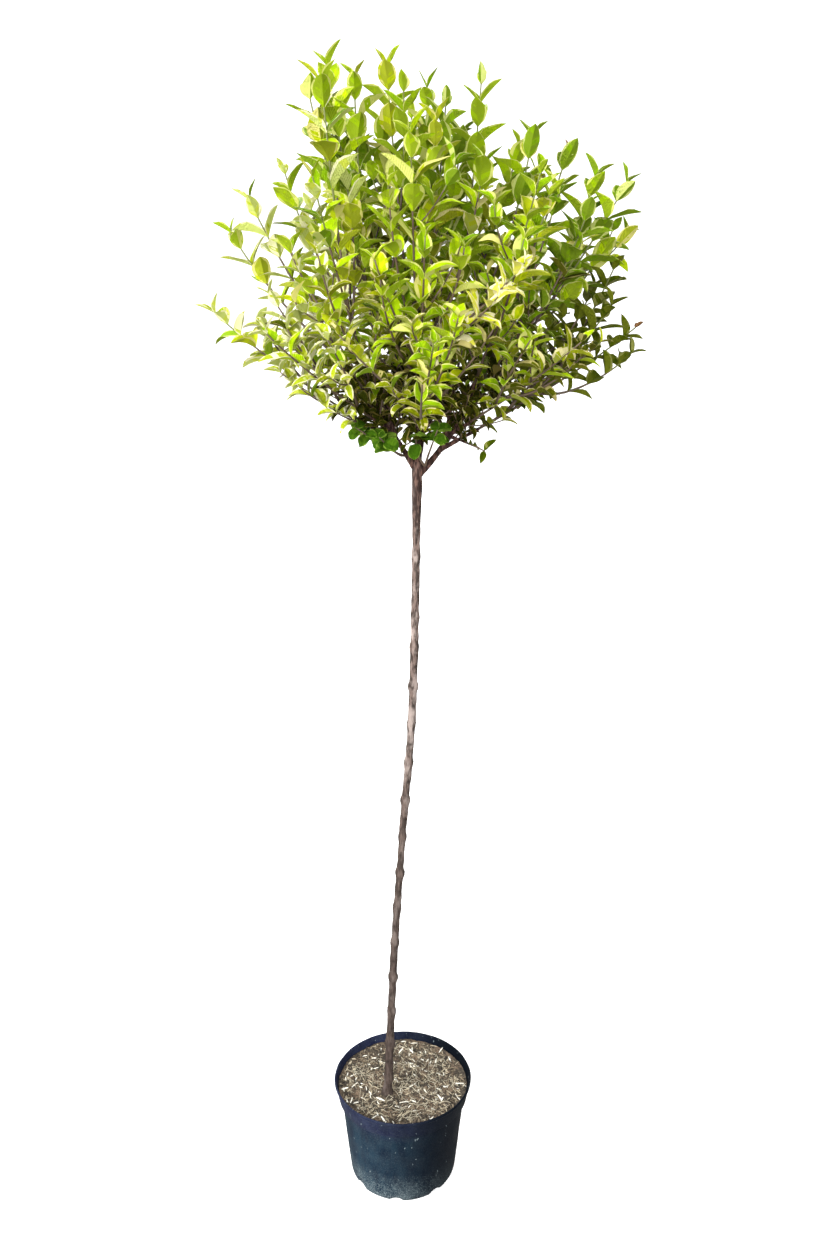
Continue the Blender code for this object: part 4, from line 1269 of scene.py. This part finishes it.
def blade_faces():
    """One leaf's quads and triangles, and for each its strip: 0 to 3 across the upper side, 4 to 7 back below."""
    rows, strip = len(LEAF_ROWS), np.arange(LEAF_RING)
    after, last = (strip + 1) % LEAF_RING, 1 + LEAF_RING * rows
    quads = 1 + ring_faces(rows, LEAF_RING).reshape(-1, LEAF_RING, 4).swapaxes(0, 1).reshape(-1, 4)
    foot = np.stack([0 * strip, 1 + after, 1 + strip], -1)
    tip = last - np.stack([0 * strip, LEAF_RING - strip, LEAF_RING - after], -1)
    triangles = np.stack([foot, tip], 1).reshape(-1, 3)
    return quads, np.repeat(strip, rows - 1), triangles, np.repeat(strip, 2)


def patches(strips, halves, chance):
    """The tone of each face (n, faces): 0 middle, 1 blotch, 2 edge, 3 underside.

    A face takes its strip's tone, and some take another. On a leaf whose half is 1 or 2, the left or the right
    side of the middle is nearly all edge tone.
    """
    draw = chance.uniform(size=(len(halves), len(strips)))
    upper = np.where(draw < 0.28, 1, np.where(draw > 0.96, 2, 0))
    lower = np.where(draw < 0.20, 1, 3)
    edge = np.where(draw < 0.16, 1, 2)
    toned = np.where(np.isin(strips, (1, 2)), upper, np.where(np.isin(strips, (5, 6)), lower, edge))
    left = np.isin(strips, (1, 6)) & (halves[:, None] == 1)
    right = np.isin(strips, (2, 5)) & (halves[:, None] == 2)
    return np.where((left | right) & (draw > 0.15), 2, toned)


def leaf_finish(name, colour, roughness):
    """A plain tone with side veins in low relief, drawn from the leaf's own map: u runs along it and v across."""
    made, tree, shader = new_material(name, colour, roughness, gloss=0.03)
    spot = node(tree, "SeparateXYZ", {0: node(tree, "UVMap", uv_map="leaf").outputs[0]}).outputs
    slant = worked(tree, "MULTIPLY", worked(tree, "ABSOLUTE", spot["Y"]), 1.4)
    turns = worked(tree, "SUBTRACT", worked(tree, "MULTIPLY", spot["X"], 8), slant)
    veins = worked(tree, "ABSOLUTE", worked(tree, "SINE", worked(tree, "MULTIPLY", turns, 6.283)))
    veins = worked(tree, "MULTIPLY", worked(tree, "POWER", veins, 6), -0.5)
    height = worked(tree, "ADD", veins, mask(tree, 320, 0.25, 0.75))
    fill(tree, shader, {"Normal": bump(tree, height, 0.8, 0.0022)})
    return made


grown = [leaves_of(shoot) for shoot in shoots]
free = np.repeat([shoot.limb in OWN_GAPS for shoot in shoots], [len(leaves.length) for leaves in grown])
everything = Leaves(*(np.concatenate(column) for column in zip(*grown)))
low_corner, high_corner = (np.array(corner) for corner in cad_box)
tips = everything.root + everything.way * everything.length[:, None] * 0.9
inside = ((tips > low_corner - BOX_ROOM) & (tips < high_corner + BOX_ROOM)).all(axis=1)
inside &= free | (tips[:, 2] > crown_floor(tips) - FLOOR_ROOM)
everything = everything.only(inside)
quads, quad_strips, triangles, triangle_strips = blade_faces()
for tone, name in enumerate(TONE_NAMES):
    own = everything.only(everything.tone == tone)
    count = len(own.length)
    chance = seeded(name + " blades")
    points, places = blade_points(own, chance)
    faces = [repeated(face, count, points.shape[1]) for face in (quads, triangles)]
    piece = new_mesh("leaves_" + name, points, *faces)
    halves = chance.choice([0] * 8 + [1, 2], count)
    toned = [patches(strips, halves, chance).ravel() for strips in (quad_strips, triangle_strips)]
    piece.data.polygons.foreach_set("material_index", np.concatenate(toned).astype(np.int32))
    piece.data.set_sharp_from_angle(angle=math.radians(CREASE_DEG))
    corners = np.concatenate([face.ravel() for face in faces])
    leaf_map = piece.data.uv_layers.new(name="leaf")
    leaf_map.data.foreach_set("uv", places.reshape(-1, 2)[corners].astype(np.float32).ravel())
    for (part, rough), thousandths in zip(LEAF_LAYERS.items(), LEAF_TONES[name]):
        colour = [channel / 1000 for channel in thousandths]
        piece.data.materials.append(leaf_finish(f"leaf_{name}_{part}", colour, rough))
    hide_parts(*foliage_nodes)
    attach(piece, "root")
